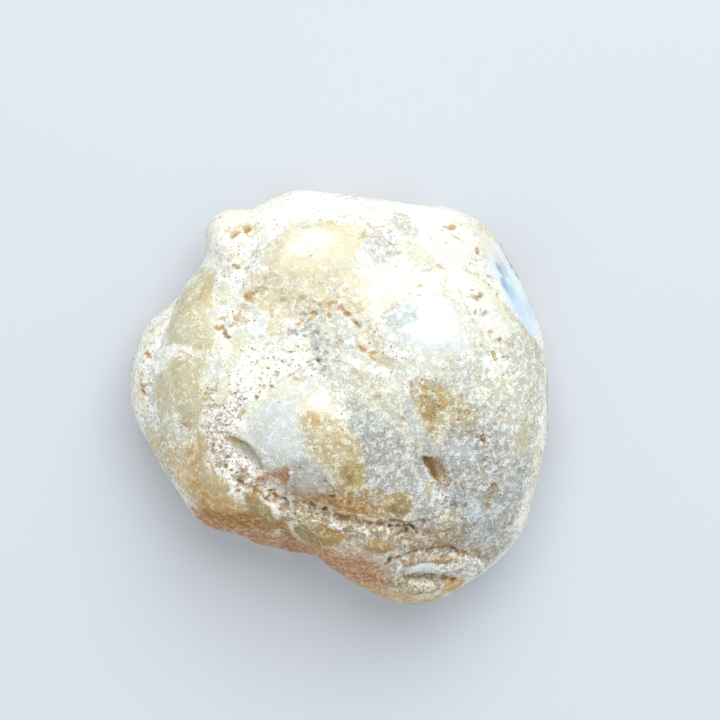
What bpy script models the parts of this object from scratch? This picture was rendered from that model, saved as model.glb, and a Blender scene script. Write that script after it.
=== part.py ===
"""Half nodule of dendritic opal, lying on its sawn and polished face with the rind upwards.

Run with blender --background --python part.py, or from the text editor.
Metres, +Z up. Seen from above, +X runs to the right and +Y up the page.
The origin is the middle of the bounding box, on the plane of the polished face.
"""

import math

import bmesh
import bpy
import numpy as np
from mathutils import Vector, noise

MM = 0.001

# Driving dimensions, in millimetres
STONE_WIDTH = 66.0
RIM_HEIGHT = 11.0
DOME_RISE = 18.0
BELLY_DROP = 22.0
CORE_RADIUS = 31.0

# How the nodule takes its outline. Shares run from 0 at the middle to 1 at the rim.
DOME_POWER = 2.25
OUTLINE_STARTS = 0.35
OUTLINE_BLUR = 18.0
BLUR_SAMPLES = 7
BLURRED_BY = 0.45

# The mesh before it is sawn, how near a cut a corner is drawn onto it, and when two corners are one
GRID_CUTS = 30
SAW_SNAP = 0.45
WINDOW_SNAP = 0.3
MERGE_DISTANCE = 0.02
SHARP_ANGLE = 40.0

# The outline seen from above, anticlockwise from the right, as (x, y) in millimetres
OUTLINE = [
    (32.8, 0.7), (32.1, 8.5), (30.0, 14.3), (27.5, 19.5), (24.8, 23.9), (20.9, 27.8),
    (16.2, 30.0), (9.5, 30.6), (0.5, 31.9), (-8.9, 32.1), (-12.5, 30.8), (-15.1, 30.0),
    (-18.7, 28.9), (-21.1, 26.7), (-21.4, 24.2), (-21.1, 22.8), (-23.4, 18.4),
    (-26.3, 14.5), (-29.2, 12.5), (-31.7, 8.5), (-33.0, 2.0), (-31.6, -4.6),
    (-28.9, -9.3), (-25.3, -15.0), (-21.9, -19.5), (-15.1, -21.7), (-8.1, -23.7),
    (-6.5, -23.6), (-3.5, -25.2), (0.5, -28.3), (5.9, -31.0), (11.1, -32.1),
    (16.2, -31.0), (21.6, -28.1), (25.6, -24.7), (28.6, -20.3), (29.9, -14.5),
    (31.9, -7.8),
]

# The polished window on the upper right, ground flat through the rind above the rim
WINDOW_BEARING = 28.0
WINDOW_SLOPE = 70.0
WINDOW_REACH = 33.45
WINDOW_HALF_ANGLE = 18.0
RIND_BEFORE_GRINDING = 0.9

# Swellings and hollows of the rind: x, y, half length, half breadth, turn in degrees, rise
LUMPS = {
    "crown": (-3.8, 22.0, 13.0, 7.5, 4, 2.0),
    "white_boss": (14.2, 10.8, 11.0, 9.5, -20, 2.7),
    "middle_boss": (-4.2, -5.4, 13.0, 11.0, -25, 2.5),
    "right_shoulder": (21.5, -8.0, 11.0, 13.0, 0, 1.3),
    "lower_strip": (4.8, -22.6, 14.0, 4.5, -6, 1.4),
    "bottom_lobe": (13.0, -29.5, 9.0, 4.5, 0, 0.9),
    "corner_lobe": (-17.6, 27.0, 6.0, 5.0, 30, 1.1),
    "upper_right_hump": (20.0, 24.5, 7.0, 5.5, -30, 0.9),
    "upper_left_cheek": (-22.4, 14.2, 5.0, 8.0, -20, 0.9),
    "lower_left_cheek": (-24.4, 1.2, 5.0, 8.0, 0, 0.9),
    "left_flank": (-31.2, 3.0, 3.5, 10.0, 0, 0.6),
    "lower_left_flank": (-18.0, -15.0, 9.0, 4.5, -25, 0.8),
    "chalk_saddle": (-8.6, 7.2, 10.0, 5.5, 10, -1.3),
    "long_scoop": (-15.0, -8.8, 5.0, 2.8, -47, -1.5),
    "brown_dent": (-10.1, -12.7, 3.6, 3.2, 20, -1.3),
    "teardrop_pit": (14.7, -11.4, 4.4, 2.9, -55, -1.6),
    "corner_cavity": (-15.4, 26.0, 3.4, 2.8, 45, -1.0),
}

# Creases of the rind: half width, depth, and the line that they follow as (x, y)
CREASES = {
    "ledge": (1.8, 1.6, [
        (-12.1, -14.8), (-8.9, -16.1), (-4.6, -17.3), (0.9, -19.0), (6.3, -20.0),
        (9.8, -20.8), (13.4, -19.8), (16.5, -17.6),
    ]),
    "second_fold": (1.6, 0.9, [(7.6, -26.4), (9.5, -25.5), (14.2, -24.4), (20.5, -24.1)]),
    "third_fold": (1.4, 0.8, [(11.4, -27.9), (15.8, -28.3), (19.5, -28.2)]),
    "left_seam": (1.5, 1.1, [
        (-25.6, 15.3), (-28.1, 9.8), (-29.4, 4.3), (-29.9, -1.2), (-29.4, -5.4),
    ]),
    "middle_seam": (1.7, 1.2, [
        (-12.1, 15.3), (-6.2, 12.1), (0.9, 12.6), (3.2, 10.4), (4.2, 7.8), (7.1, 4.9),
    ]),
    "right_groove": (1.7, 0.8, [(18.0, 17.2), (20.2, 12.7), (22.0, 7.2)]),
    "lower_valley": (2.2, 1.1, [(-6.5, -24.0), (-8.1, -20.0), (-9.3, -16.4)]),
    "corner_notch": (1.8, 0.8, [(-14.5, 30.6), (-13.7, 27.5), (-14.7, 23.7)]),
    "crown_edge": (1.6, 0.6, [(-15.6, 21.2), (-12.1, 24.7), (-7.8, 27.5), (-2.3, 28.4)]),
}

# Lumps and creases fade out over this height around the rim, and unevenness grows there
RELIEF_ENDS = RIM_HEIGHT - 4.0
RELIEF_FULL = RIM_HEIGHT + 1.0
SIDE_UNEVENNESS = 1.7

# Uneven growth all over the nodule: size of the swells in millimetres, and their height
UNEVENNESS = [(13.0, 0.8), (5.5, 0.35), (2.8, 0.15)]
NOISE_PLACE = Vector((7.3, 2.1, 5.9))

RIND_COLOUR = (0.62, 0.58, 0.44, 1.0)
RIND_ROUGHNESS = 0.7


def clear_scene():
    for found in list(bpy.data.objects):
        bpy.data.objects.remove(found)


def smoothstep(low, high, value):
    share = np.clip((value - low) / (high - low), 0.0, 1.0)
    return share * share * (3.0 - 2.0 * share)


def outline_radius(bearing):
    """Distance from the middle to the outline at each bearing, on a smooth closed curve through OUTLINE."""
    points = np.array(OUTLINE)
    turn = 2.0 * math.pi
    knots = np.unwrap(np.arctan2(points[:, 1], points[:, 0]))
    radii = np.hypot(points[:, 0], points[:, 1])
    knots = np.concatenate([knots[-2:] - turn, knots, knots[:2] + turn])
    radii = np.concatenate([radii[-2:], radii, radii[:2]])
    slopes = (radii[2:] - radii[:-2]) / (knots[2:] - knots[:-2])
    wrapped = knots[1] + np.mod(bearing - knots[1], turn)
    left = np.clip(np.searchsorted(knots, wrapped, side="right") - 1, 1, len(knots) - 3)
    span = knots[left + 1] - knots[left]
    s = (wrapped - knots[left]) / span
    return (
        radii[left] * (2 * s**3 - 3 * s**2 + 1)
        + slopes[left - 1] * span * (s**3 - 2 * s**2 + s)
        + radii[left + 1] * (3 * s**2 - 2 * s**3)
        + slopes[left] * span * (s**3 - s**2)
    )


def plain_nodule(directions):
    """The whole nodule without its relief: a domed body that takes the outline at its rim.

    Below the rim the outline is blurred, and where the window will be ground the body is left fuller.
    """
    across = np.hypot(directions[:, 0], directions[:, 1])
    up = directions[:, 2]
    share = across ** (2.0 / DOME_POWER)
    lift = np.abs(up) ** (2.0 / DOME_POWER)
    bearing = np.arctan2(directions[:, 1], directions[:, 0])
    below = smoothstep(0.0, BLURRED_BY, -up)
    turns = math.radians(OUTLINE_BLUR) * np.linspace(-1.0, 1.0, BLUR_SAMPLES)
    blurred = np.mean([outline_radius(bearing + turn) for turn in turns], axis=0)
    rim = outline_radius(bearing) * (1.0 - below) + blurred * below
    off_window = (bearing - math.radians(WINDOW_BEARING)) / math.radians(WINDOW_HALF_ANGLE)
    rim += RIND_BEFORE_GRINDING * (1.0 - np.minimum(off_window**2, 1.0)) ** 2
    reach = CORE_RADIUS + (rim - CORE_RADIUS) * smoothstep(OUTLINE_STARTS, 1.0, share)
    height = RIM_HEIGHT + np.where(up > 0.0, DOME_RISE, -BELLY_DROP) * lift
    return np.column_stack([
        share * reach * np.cos(bearing),
        share * reach * np.sin(bearing),
        height,
    ])


def lump_rise(plan, x, y, half_length, half_breadth, turn, rise):
    """Height that one swelling or hollow adds at each plan position."""
    angle = math.radians(turn)
    offset = plan - np.array([x, y])
    along = offset[:, 0] * math.cos(angle) + offset[:, 1] * math.sin(angle)
    aside = offset[:, 1] * math.cos(angle) - offset[:, 0] * math.sin(angle)
    reach = np.clip((along / half_length) ** 2 + (aside / half_breadth) ** 2, 0.0, 1.0)
    return rise * (1.0 - reach) ** 2


def distance_to_line(plan, line):
    """Distance from each plan position to a line of straight runs."""
    nearest = np.full(len(plan), np.inf)
    for start, end in zip(line[:-1], line[1:]):
        run = np.array(end) - np.array(start)
        from_start = plan - np.array(start)
        share = np.clip(from_start @ run / (run @ run), 0.0, 1.0)
        nearest = np.minimum(nearest, np.linalg.norm(from_start - share[:, None] * run, axis=1))
    return nearest


def relief(points):
    """How far the swellings, creases and unevenness move each point of the plain nodule outwards."""
    plan = points[:, :2]
    shaped = np.zeros(len(points))
    for lump in LUMPS.values():
        shaped += lump_rise(plan, *lump)
    for half_width, depth, line in CREASES.values():
        shaped -= depth * np.exp(-((distance_to_line(plan, line) / half_width) ** 2))
    uneven = np.zeros(len(points))
    for size, height in UNEVENNESS:
        uneven += [height * noise.noise(Vector(point) / size + NOISE_PLACE) for point in points]
    on_top = smoothstep(RELIEF_ENDS, RELIEF_FULL, points[:, 2])
    return shaped * on_top + uneven * (SIDE_UNEVENNESS + (1.0 - SIDE_UNEVENNESS) * on_top)


def ball_of_squares():
    """A unit ball whose faces are squares, so it has no pole on the side that is seen."""
    ball = bmesh.new()
    bmesh.ops.create_cube(ball, size=2.0)
    bmesh.ops.subdivide_edges(ball, edges=ball.edges[:], cuts=GRID_CUTS, use_grid_fill=True)
    for vert in ball.verts:
        evened = Vector([math.tan(side * math.pi / 4.0) for side in vert.co])
        vert.co = evened.normalized()
    return ball


def places_of(mesh):
    return np.array([vert.co[:] for vert in mesh.verts])


def set_places(mesh, places):
    for vert, place in zip(mesh.verts, places):
        vert.co = place
    mesh.normal_update()


def cut_flat(mesh, point, normal, snap):
    """Cuts away what lies beyond a plane and closes the cut with one flat face."""
    for vert in mesh.verts:
        beyond = (vert.co - point).dot(normal)
        if abs(beyond) < snap:
            vert.co -= beyond * normal
    geometry = mesh.verts[:] + mesh.edges[:] + mesh.faces[:]
    bmesh.ops.bisect_plane(mesh, geom=geometry, plane_co=point, plane_no=normal, clear_outer=True)
    bmesh.ops.remove_doubles(mesh, verts=mesh.verts, dist=MERGE_DISTANCE)
    bmesh.ops.contextual_create(mesh, geom=[edge for edge in mesh.edges if edge.is_boundary])


def grind_window(mesh):
    """Grinds the flat window, whose reach is measured at the height of the rim."""
    bearing, slope = math.radians(WINDOW_BEARING), math.radians(WINDOW_SLOPE)
    outward = Vector((math.cos(bearing), math.sin(bearing), 0.0))
    upward = Vector((0.0, 0.0, 1.0))
    point = outward * WINDOW_REACH + upward * RIM_HEIGHT
    cut_flat(mesh, point, outward * math.sin(slope) + upward * math.cos(slope), WINDOW_SNAP)


def saw_in_half(mesh):
    """Saws off all below the polished face, which is the plane of the origin."""
    cut_flat(mesh, Vector((0.0, 0.0, 0.0)), Vector((0.0, 0.0, -1.0)), SAW_SNAP)


def centre_and_scale(mesh):
    """Centres the stone in plan and brings it from the design's millimetres to its real width in metres."""
    places = places_of(mesh)
    low, high = places.min(axis=0), places.max(axis=0)
    middle = (low + high) / 2.0 * np.array([1.0, 1.0, 0.0])
    set_places(mesh, (places - middle) * (STONE_WIDTH / (high[0] - low[0])) * MM)


def make_stone():
    """The stone as one closed mesh."""
    mesh = ball_of_squares()
    set_places(mesh, plain_nodule(places_of(mesh)))
    outward = np.array([vert.normal[:] for vert in mesh.verts])
    places = places_of(mesh)
    set_places(mesh, places + outward * relief(places)[:, None])
    grind_window(mesh)
    saw_in_half(mesh)
    centre_and_scale(mesh)
    bmesh.ops.recalc_face_normals(mesh, faces=mesh.faces[:])
    return mesh


def rind_material():
    material = bpy.data.materials.new("opal_rind")
    material.use_nodes = True
    shader = material.node_tree.nodes["Principled BSDF"]
    shader.inputs["Base Color"].default_value = RIND_COLOUR
    shader.inputs["Roughness"].default_value = RIND_ROUGHNESS
    shader.inputs["Metallic"].default_value = 0.0
    return material


def main():
    clear_scene()
    collection = bpy.data.collections.new("dendritic_opal")
    bpy.context.scene.collection.children.link(collection)
    mesh = make_stone()
    data = bpy.data.meshes.new("opal_nodule")
    mesh.to_mesh(data)
    mesh.free()
    stone = bpy.data.objects.new("opal_nodule", data)
    collection.objects.link(stone)
    data.materials.append(rind_material())
    data.shade_smooth()
    data.set_sharp_from_angle(angle=math.radians(SHARP_ANGLE))


main()
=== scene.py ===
"""Half nodule of dendritic opal: a lumpy natural rind above, polished opal below and at one edge.

The stone is one piece. Its solid is smoothed and cut finer, its marks are laid where the photograph shows
them and wrapped over the surface, and then its relief is carved. Lengths are in millimetres until a place
goes back into a mesh.
"""

import itertools
import logging
import math
from dataclasses import dataclass, field
from enum import Enum

import bpy
import numpy as np
from mathutils import Euler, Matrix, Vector, kdtree
from mathutils.bvhtree import BVHTree


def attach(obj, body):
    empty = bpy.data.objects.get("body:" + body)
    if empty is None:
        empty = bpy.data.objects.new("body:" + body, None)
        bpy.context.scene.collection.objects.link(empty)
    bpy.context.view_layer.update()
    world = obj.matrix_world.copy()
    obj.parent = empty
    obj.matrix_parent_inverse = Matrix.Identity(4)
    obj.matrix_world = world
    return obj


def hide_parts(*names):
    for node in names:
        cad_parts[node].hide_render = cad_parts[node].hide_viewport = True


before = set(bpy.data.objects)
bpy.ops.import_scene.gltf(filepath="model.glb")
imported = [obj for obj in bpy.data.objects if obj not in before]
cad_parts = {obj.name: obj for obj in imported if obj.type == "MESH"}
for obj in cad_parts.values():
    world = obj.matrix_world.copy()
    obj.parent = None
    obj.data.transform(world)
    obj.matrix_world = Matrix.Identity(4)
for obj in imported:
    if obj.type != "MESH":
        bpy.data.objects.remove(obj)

MM = 0.001
NODE = "opal_nodule"
BODY = "root"
LEDGE_SOFTNESS = 0.35

Pixel = tuple[float, float]
Pixels = tuple[Pixel, ...]
Shown = tuple[int, int, int]
Span = tuple[float, float]
Socket = bpy.types.NodeSocket

log = logging.getLogger("opal")


def smoothstep(low: float, high: float, value: np.ndarray) -> np.ndarray:
    """Rises smoothly from 0 at low to 1 at high.

    Args:
        low: Value at which the rise starts.
        high: Value at which the rise ends.
        value: Values to map.

    Returns:
        The risen share of each value.
    """
    share = np.clip((value - low) / (high - low), 0.0, 1.0)
    return share * share * (3.0 - 2.0 * share)


def daylight(colour: Shown, shade: float = 1.0) -> np.ndarray:
    """Turns a colour as a screen shows it, 0 to 255, into the linear colour that light works with.

    Args:
        colour: Red, green and blue.
        shade: Share by which all three are lowered first.

    Returns:
        The linear colour.
    """
    shown = np.array(colour, float) * shade / 255.0
    return np.where(shown <= 0.04045, shown / 12.92, ((shown + 0.055) / 1.055) ** 2.4)


def deselect_all() -> None:
    """Takes every object out of the selection. Works in object mode."""
    bpy.ops.object.select_all(action="DESELECT")


def make_active(thing: bpy.types.Object) -> None:
    """Selects one object alone and makes it the active one.

    Args:
        thing: The object.
    """
    deselect_all()
    thing.select_set(True)
    bpy.context.view_layer.objects.active = thing


class Hue(Enum):
    """The stone's few colours, as a screen shows them, 0 to 255. A few also serve as painted shade, shadow
    and reflection.
    """

    SNOW = (250, 250, 245)
    MILK_WHITE = (245, 250, 248)
    IVORY = (250, 247, 234)
    WHITE = (240, 240, 233)
    MIST = (240, 243, 228)
    LINEN = (243, 237, 215)
    PEARL = (230, 237, 234)
    CREAM = (240, 230, 205)
    BONE = (230, 226, 208)
    STRAW = (232, 225, 190)
    CELADON = (222, 225, 200)
    BUFF = (222, 212, 180)
    APRICOT = (228, 202, 160)
    SILVER = (215, 218, 215)
    PUTTY = (205, 205, 190)
    SAND = (208, 195, 162)
    PALE_OLIVE = (208, 202, 168)
    ROSE_BUFF = (222, 180, 142)
    CLAY = (200, 190, 172)
    ICE_BLUE = (196, 208, 210)
    ASH = (198, 202, 198)
    HONEY = (194, 178, 134)
    GOLD = (204, 166, 104)
    OLIVE = (186, 166, 90)
    STONE = (172, 172, 166)
    ROSE_BROWN = (180, 130, 92)
    BROWN = (168, 142, 104)
    KHAKI = (160, 136, 88)
    OCHRE = (166, 116, 58)
    DRAB = (157, 145, 125)
    SIENNA = (148, 116, 74)
    MOSS_SHADOW = (122, 98, 54)
    UMBER = (92, 70, 48)
    CLEAR = (230, 245, 250)
    SKY = (205, 225, 240)
    BLUE = (180, 208, 232)
    DEEP_BLUE = (148, 182, 214)
    SLATE = (165, 176, 182)


@dataclass(frozen=True)
class Feel:
    """How a stretch of rind is built up, in shares from 0 to 1."""

    crusted: float
    pores: float
    gloss: float
    grain: float
    rusty: float
    varied: float


GLAZED = Feel(crusted=0.14, pores=0.0, gloss=0.45, grain=0.4, rusty=0.02, varied=0.5)
WAXY = Feel(crusted=0.34, pores=0.0, gloss=0.35, grain=0.25, rusty=0.0, varied=0.5)
MILKY = Feel(crusted=0.5, pores=0.0, gloss=0.35, grain=0.12, rusty=0.0, varied=0.3)
FINE = Feel(crusted=0.55, pores=0.03, gloss=0.1, grain=0.35, rusty=0.02, varied=0.5)
CHALKY = Feel(crusted=0.8, pores=0.25, gloss=0.0, grain=0.45, rusty=0.05, varied=0.55)
PITTED = Feel(crusted=0.9, pores=0.5, gloss=0.0, grain=0.4, rusty=0.05, varied=0.5)
ROTTEN = Feel(crusted=0.68, pores=0.6, gloss=0.0, grain=0.85, rusty=0.12, varied=0.6)
CRUMBLY = Feel(crusted=0.54, pores=0.08, gloss=0.0, grain=0.9, rusty=0.07, varied=0.6)
GRITTY = Feel(crusted=0.46, pores=0.05, gloss=0.0, grain=0.8, rusty=0.04, varied=0.6)
EARTHY = Feel(crusted=0.38, pores=0.04, gloss=0.0, grain=0.62, rusty=0.12, varied=0.65)
RUSTY = Feel(crusted=0.42, pores=0.04, gloss=0.0, grain=0.75, rusty=0.28, varied=0.75)
STAINED = Feel(crusted=0.22, pores=0.03, gloss=0.0, grain=0.7, rusty=0.2, varied=0.6)


@dataclass(frozen=True)
class Tone:
    """One look of the rind: a ground that shows through a broken crust, darkened alike by the shade."""

    ground: Hue
    crust: Hue
    feel: Feel
    shade: float = 1.0

    def layers(self) -> dict[str, np.ndarray]:
        """The values that the finish reads, by the name of their attribute.

        Returns:
            Four values for each attribute: a linear colour and one trait, or four traits.
        """
        feel = self.feel
        return {
            "ground": np.append(daylight(self.ground.value, self.shade), feel.rusty),
            "crust": np.append(daylight(self.crust.value, self.shade), feel.varied),
            "traits": np.array([feel.crusted, feel.pores, feel.gloss, feel.grain]),
        }


SMOOTH_WHITE = Tone(Hue.WHITE, Hue.SNOW, MILKY)
WARM_WHITE = Tone(Hue.WHITE, Hue.IVORY, FINE)
CHALK = Tone(Hue.BONE, Hue.SNOW, CHALKY)
PITTED_CHALK = Tone(Hue.BONE, Hue.SNOW, PITTED)
ROTTEN_CHALK = Tone(Hue.CLAY, Hue.SNOW, ROTTEN)
CRUMB_CREAM = Tone(Hue.CLAY, Hue.SNOW, CRUMBLY)
VEIN = Tone(Hue.BONE, Hue.SNOW, FINE)
CREAM = Tone(Hue.CREAM, Hue.IVORY, FINE)
TAN = Tone(Hue.BUFF, Hue.LINEN, EARTHY)
THREAD = Tone(Hue.PUTTY, Hue.LINEN, EARTHY)
YELLOW = Tone(Hue.STRAW, Hue.LINEN, WAXY)
FAINT_YELLOW = Tone(Hue.BUFF, Hue.LINEN, WAXY)
PALE_YELLOW = Tone(Hue.MIST, Hue.IVORY, MILKY)
PALE_OLIVE = Tone(Hue.PALE_OLIVE, Hue.LINEN, GLAZED)
DIM_OLIVE = Tone(Hue.PALE_OLIVE, Hue.LINEN, GLAZED, 0.95)
OLIVE_TAN = Tone(Hue.PALE_OLIVE, Hue.BUFF, EARTHY)
AMBER = Tone(Hue.HONEY, Hue.BUFF, GLAZED)
GOLDEN_RIND = Tone(Hue.HONEY, Hue.STRAW, EARTHY)
OLIVE = Tone(Hue.OLIVE, Hue.PALE_OLIVE, WAXY)
OLIVE_GOLD = Tone(Hue.OLIVE, Hue.HONEY, WAXY, 0.95)
DARK_OLIVE = Tone(Hue.KHAKI, Hue.HONEY, GLAZED)
OLIVE_HEART = Tone(Hue.KHAKI, Hue.HONEY, GLAZED, 0.93)
PALE_GREEN = Tone(Hue.CELADON, Hue.MIST, WAXY)
LENS_GREEN = Tone(Hue.HONEY, Hue.CELADON, WAXY)
MILK = Tone(Hue.PEARL, Hue.MILK_WHITE, MILKY)
# Whiter milk, partly painted highlight where the boss faces the light.
MILK_HEART_HIGHLIGHT = Tone(Hue.MILK_WHITE, Hue.SNOW, MILKY)
GREEN_MILK = Tone(Hue.CELADON, Hue.SNOW, WAXY)
BLUE_MILK = Tone(Hue.ICE_BLUE, Hue.PEARL, WAXY)
ICE = Tone(Hue.SILVER, Hue.PEARL, WAXY)
# A darker copy of ICE: painted shade.
SHADED_ICE = Tone(Hue.SILVER, Hue.PEARL, GRITTY, 0.91)
PALE_GREY = Tone(Hue.SILVER, Hue.SNOW, GRITTY)
COOL_GREY = Tone(Hue.ASH, Hue.PEARL, GRITTY)
OLIVE_GREY = Tone(Hue.PUTTY, Hue.MIST, GRITTY)
SOFT_GREY = Tone(Hue.PUTTY, Hue.MIST, FINE, 0.96)
YELLOW_GREY = Tone(Hue.PALE_OLIVE, Hue.CELADON, GRITTY, 0.95)
STONE_GREY = Tone(Hue.STONE, Hue.SILVER, GRITTY)
DULL_GREY = Tone(Hue.STONE, Hue.CLAY, WAXY)
ROSY_GREY = Tone(Hue.CLAY, Hue.SILVER, GRITTY, 0.95)
DRAB = Tone(Hue.DRAB, Hue.CLAY, GRITTY)
SANDY = Tone(Hue.SAND, Hue.LINEN, EARTHY)
APRICOT = Tone(Hue.APRICOT, Hue.LINEN, EARTHY)
GOLD = Tone(Hue.GOLD, Hue.APRICOT, EARTHY)
OCHRE = Tone(Hue.OCHRE, Hue.GOLD, EARTHY)
RUST = Tone(Hue.SAND, Hue.LINEN, RUSTY)
RUST_MOTTLE = Tone(Hue.HONEY, Hue.CELADON, RUSTY)
DARK_RUST = Tone(Hue.KHAKI, Hue.HONEY, RUSTY)
# Rose rind whose warmth is partly painted reflection: warm light bounced onto the lower rim.
PINK_RIND_AND_BOUNCE = Tone(Hue.ROSE_BROWN, Hue.ROSE_BUFF, GRITTY)
BROWN_RIND = Tone(Hue.BROWN, Hue.CLAY, GRITTY)
SHELF_CREAM = Tone(Hue.BROWN, Hue.BUFF, CRUMBLY)
# Painted shadow over a dark stain, for the teardrop's slit.
MOSS_SHADOW = Tone(Hue.MOSS_SHADOW, Hue.KHAKI, STAINED)
OCHRE_HOLE = Tone(Hue.GOLD, Hue.APRICOT, STAINED)
STAIN = Tone(Hue.GOLD, Hue.BUFF, STAINED, 0.95)
# Dark stains of pits and cracks; in the crevices and folds they are also painted shadow.
DEEP_STAIN_AND_SHADOW = Tone(Hue.SIENNA, Hue.CLAY, STAINED)
BLACK_STAIN_AND_SHADOW = Tone(Hue.UMBER, Hue.SIENNA, STAINED)
GREY_CRUMB = Tone(Hue.STONE, Hue.SILVER, STAINED)


class Profile(Enum):
    """How a mark lifts or cuts the surface across its route."""

    DOME = "dome"
    GROOVE = "groove"
    LEDGE = "ledge"


@dataclass(frozen=True)
class Mark:
    """A feature of the rind, laid along a route of photograph pixels.

    The breadth is half the width, and the edge half the band in which the mark fades out. They are in
    millimetres, as the rise is, which is negative where the mark sinks. A ledge lifts the left side of its
    route, as seen from above.
    """

    name: str
    tone: Tone
    route: Pixels
    breadth: float
    cover: float = 0.95
    rise: float = 0.0
    profile: Profile = Profile.DOME
    edge: float = 0.3


@dataclass(frozen=True)
class Patch:
    """A patch of the rind inside a closed outline of photograph pixels.

    The edge is half the band in which it fades out. The rise is how far its inside is lifted, over a
    shoulder of the given width. All are in millimetres.
    """

    name: str
    tone: Tone
    outline: Pixels
    rise: float = 0.0
    shoulder: float = 1.5
    cover: float = 0.95
    edge: float = 0.3


@dataclass(frozen=True)
class Spots:
    """Small stained pits of one kind, each at its own photograph pixel. Sizes are in millimetres."""

    name: str
    tone: Tone
    pixels: Pixels
    size: float
    depth: float = 0.5
    cover: float = 0.9


@dataclass(frozen=True)
class Speckle:
    """Small stained pits strewn along a route of photograph pixels.

    The breadth is half the width of the strewn band and the size the radius of the largest pit, both in
    millimetres.
    """

    name: str
    tone: Tone
    route: Pixels
    breadth: float
    count: int
    size: float = 0.4
    cover: float = 0.8
    depth: float = 0.6


def zone(name: str, tone: Tone, route: Pixels, breadth: float) -> Mark:
    """A broad mark whose edge fades out slowly."""
    return Mark(name, tone, route, breadth, edge=1.3)


def groove(name: str, tone: Tone, route: Pixels, breadth: float, cover: float, depth: float) -> Mark:
    """A mark that is cut in along its route."""
    return Mark(name, tone, route, breadth, cover, -depth, Profile.GROOVE)


def ledge(name: str, tone: Tone, route: Pixels, breadth: float, rise: float) -> Mark:
    """A mark that lifts the left side of its route and colours nothing."""
    return Mark(name, tone, route, breadth, 0.0, rise, Profile.LEDGE)


def wash(name: str, tone: Tone, outline: Pixels, cover: float = 0.95, edge: float = 0.3) -> Patch:
    """A patch that colours the rind and lifts nothing."""
    return Patch(name, tone, outline, cover=cover, edge=edge)


BROAD_ZONES = (
    zone("crown ground", SMOOTH_WHITE, ((258, 212), (300, 206), (360, 207), (420, 210), (455, 222)), 3.0),
    zone("upper right ground", WARM_WHITE, ((430, 235), (460, 255), (480, 290), (495, 320)), 4.0),
    zone("upper left ground", CHALK, ((225, 245), (235, 275), (250, 310)), 3.6),
    zone("middle ground", WARM_WHITE, ((390, 265), (420, 282), (385, 292)), 3.2),
    zone("tan middle ground", TAN, ((262, 296), (300, 294), (345, 300)), 3.0),
    zone("grey middle ground", SOFT_GREY, ((325, 335), (350, 372), (385, 405), (372, 430)), 4.2),
    zone("chalk ground", PITTED_CHALK, ((232, 360), (262, 352), (300, 356), (300, 372), (245, 385)), 3.3),
    zone("left lobe ground", CHALK, ((152, 322), (143, 350), (142, 385), (146, 412)), 2.6),
    zone("lower left ground", SANDY, ((158, 448), (178, 472), (200, 500), (240, 515)), 3.6),
    zone("grey right ground", STONE_GREY, ((465, 400), (500, 430), (490, 480), (450, 520), (480, 540)), 6.0),
    zone("grey low middle", STONE_GREY, ((378, 450), (400, 480), (440, 460), (450, 440)), 4.6),
    zone("olive rim ground", OLIVE_GREY, ((525, 345), (530, 400), (520, 460)), 3.4),
    zone("right foot ground", STONE_GREY, ((520, 470), (510, 510), (485, 545)), 3.0),
    # Partly painted reflection: warm bounced light on the lower side, over its rose rind.
    zone("lower side ground", PINK_RIND_AND_BOUNCE, ((205, 520), (260, 540), (320, 552), (370, 580)), 2.8),
    zone("lower strip ground", DRAB, ((350, 532), (400, 540), (450, 535)), 2.6),
    zone("bottom ground", DRAB, ((400, 580), (440, 570), (475, 560)), 2.8),
    zone("centre foot", BROWN_RIND, ((295, 490), (335, 488), (372, 498)), 2.0),
    zone("centre ground", ICE, ((300, 400), (280, 425), (305, 440), (318, 464)), 4.6),
    zone("chalk band ground", ROTTEN_CHALK, ((226, 395), (222, 430), (224, 462), (250, 486)), 2.6),
)

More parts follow.
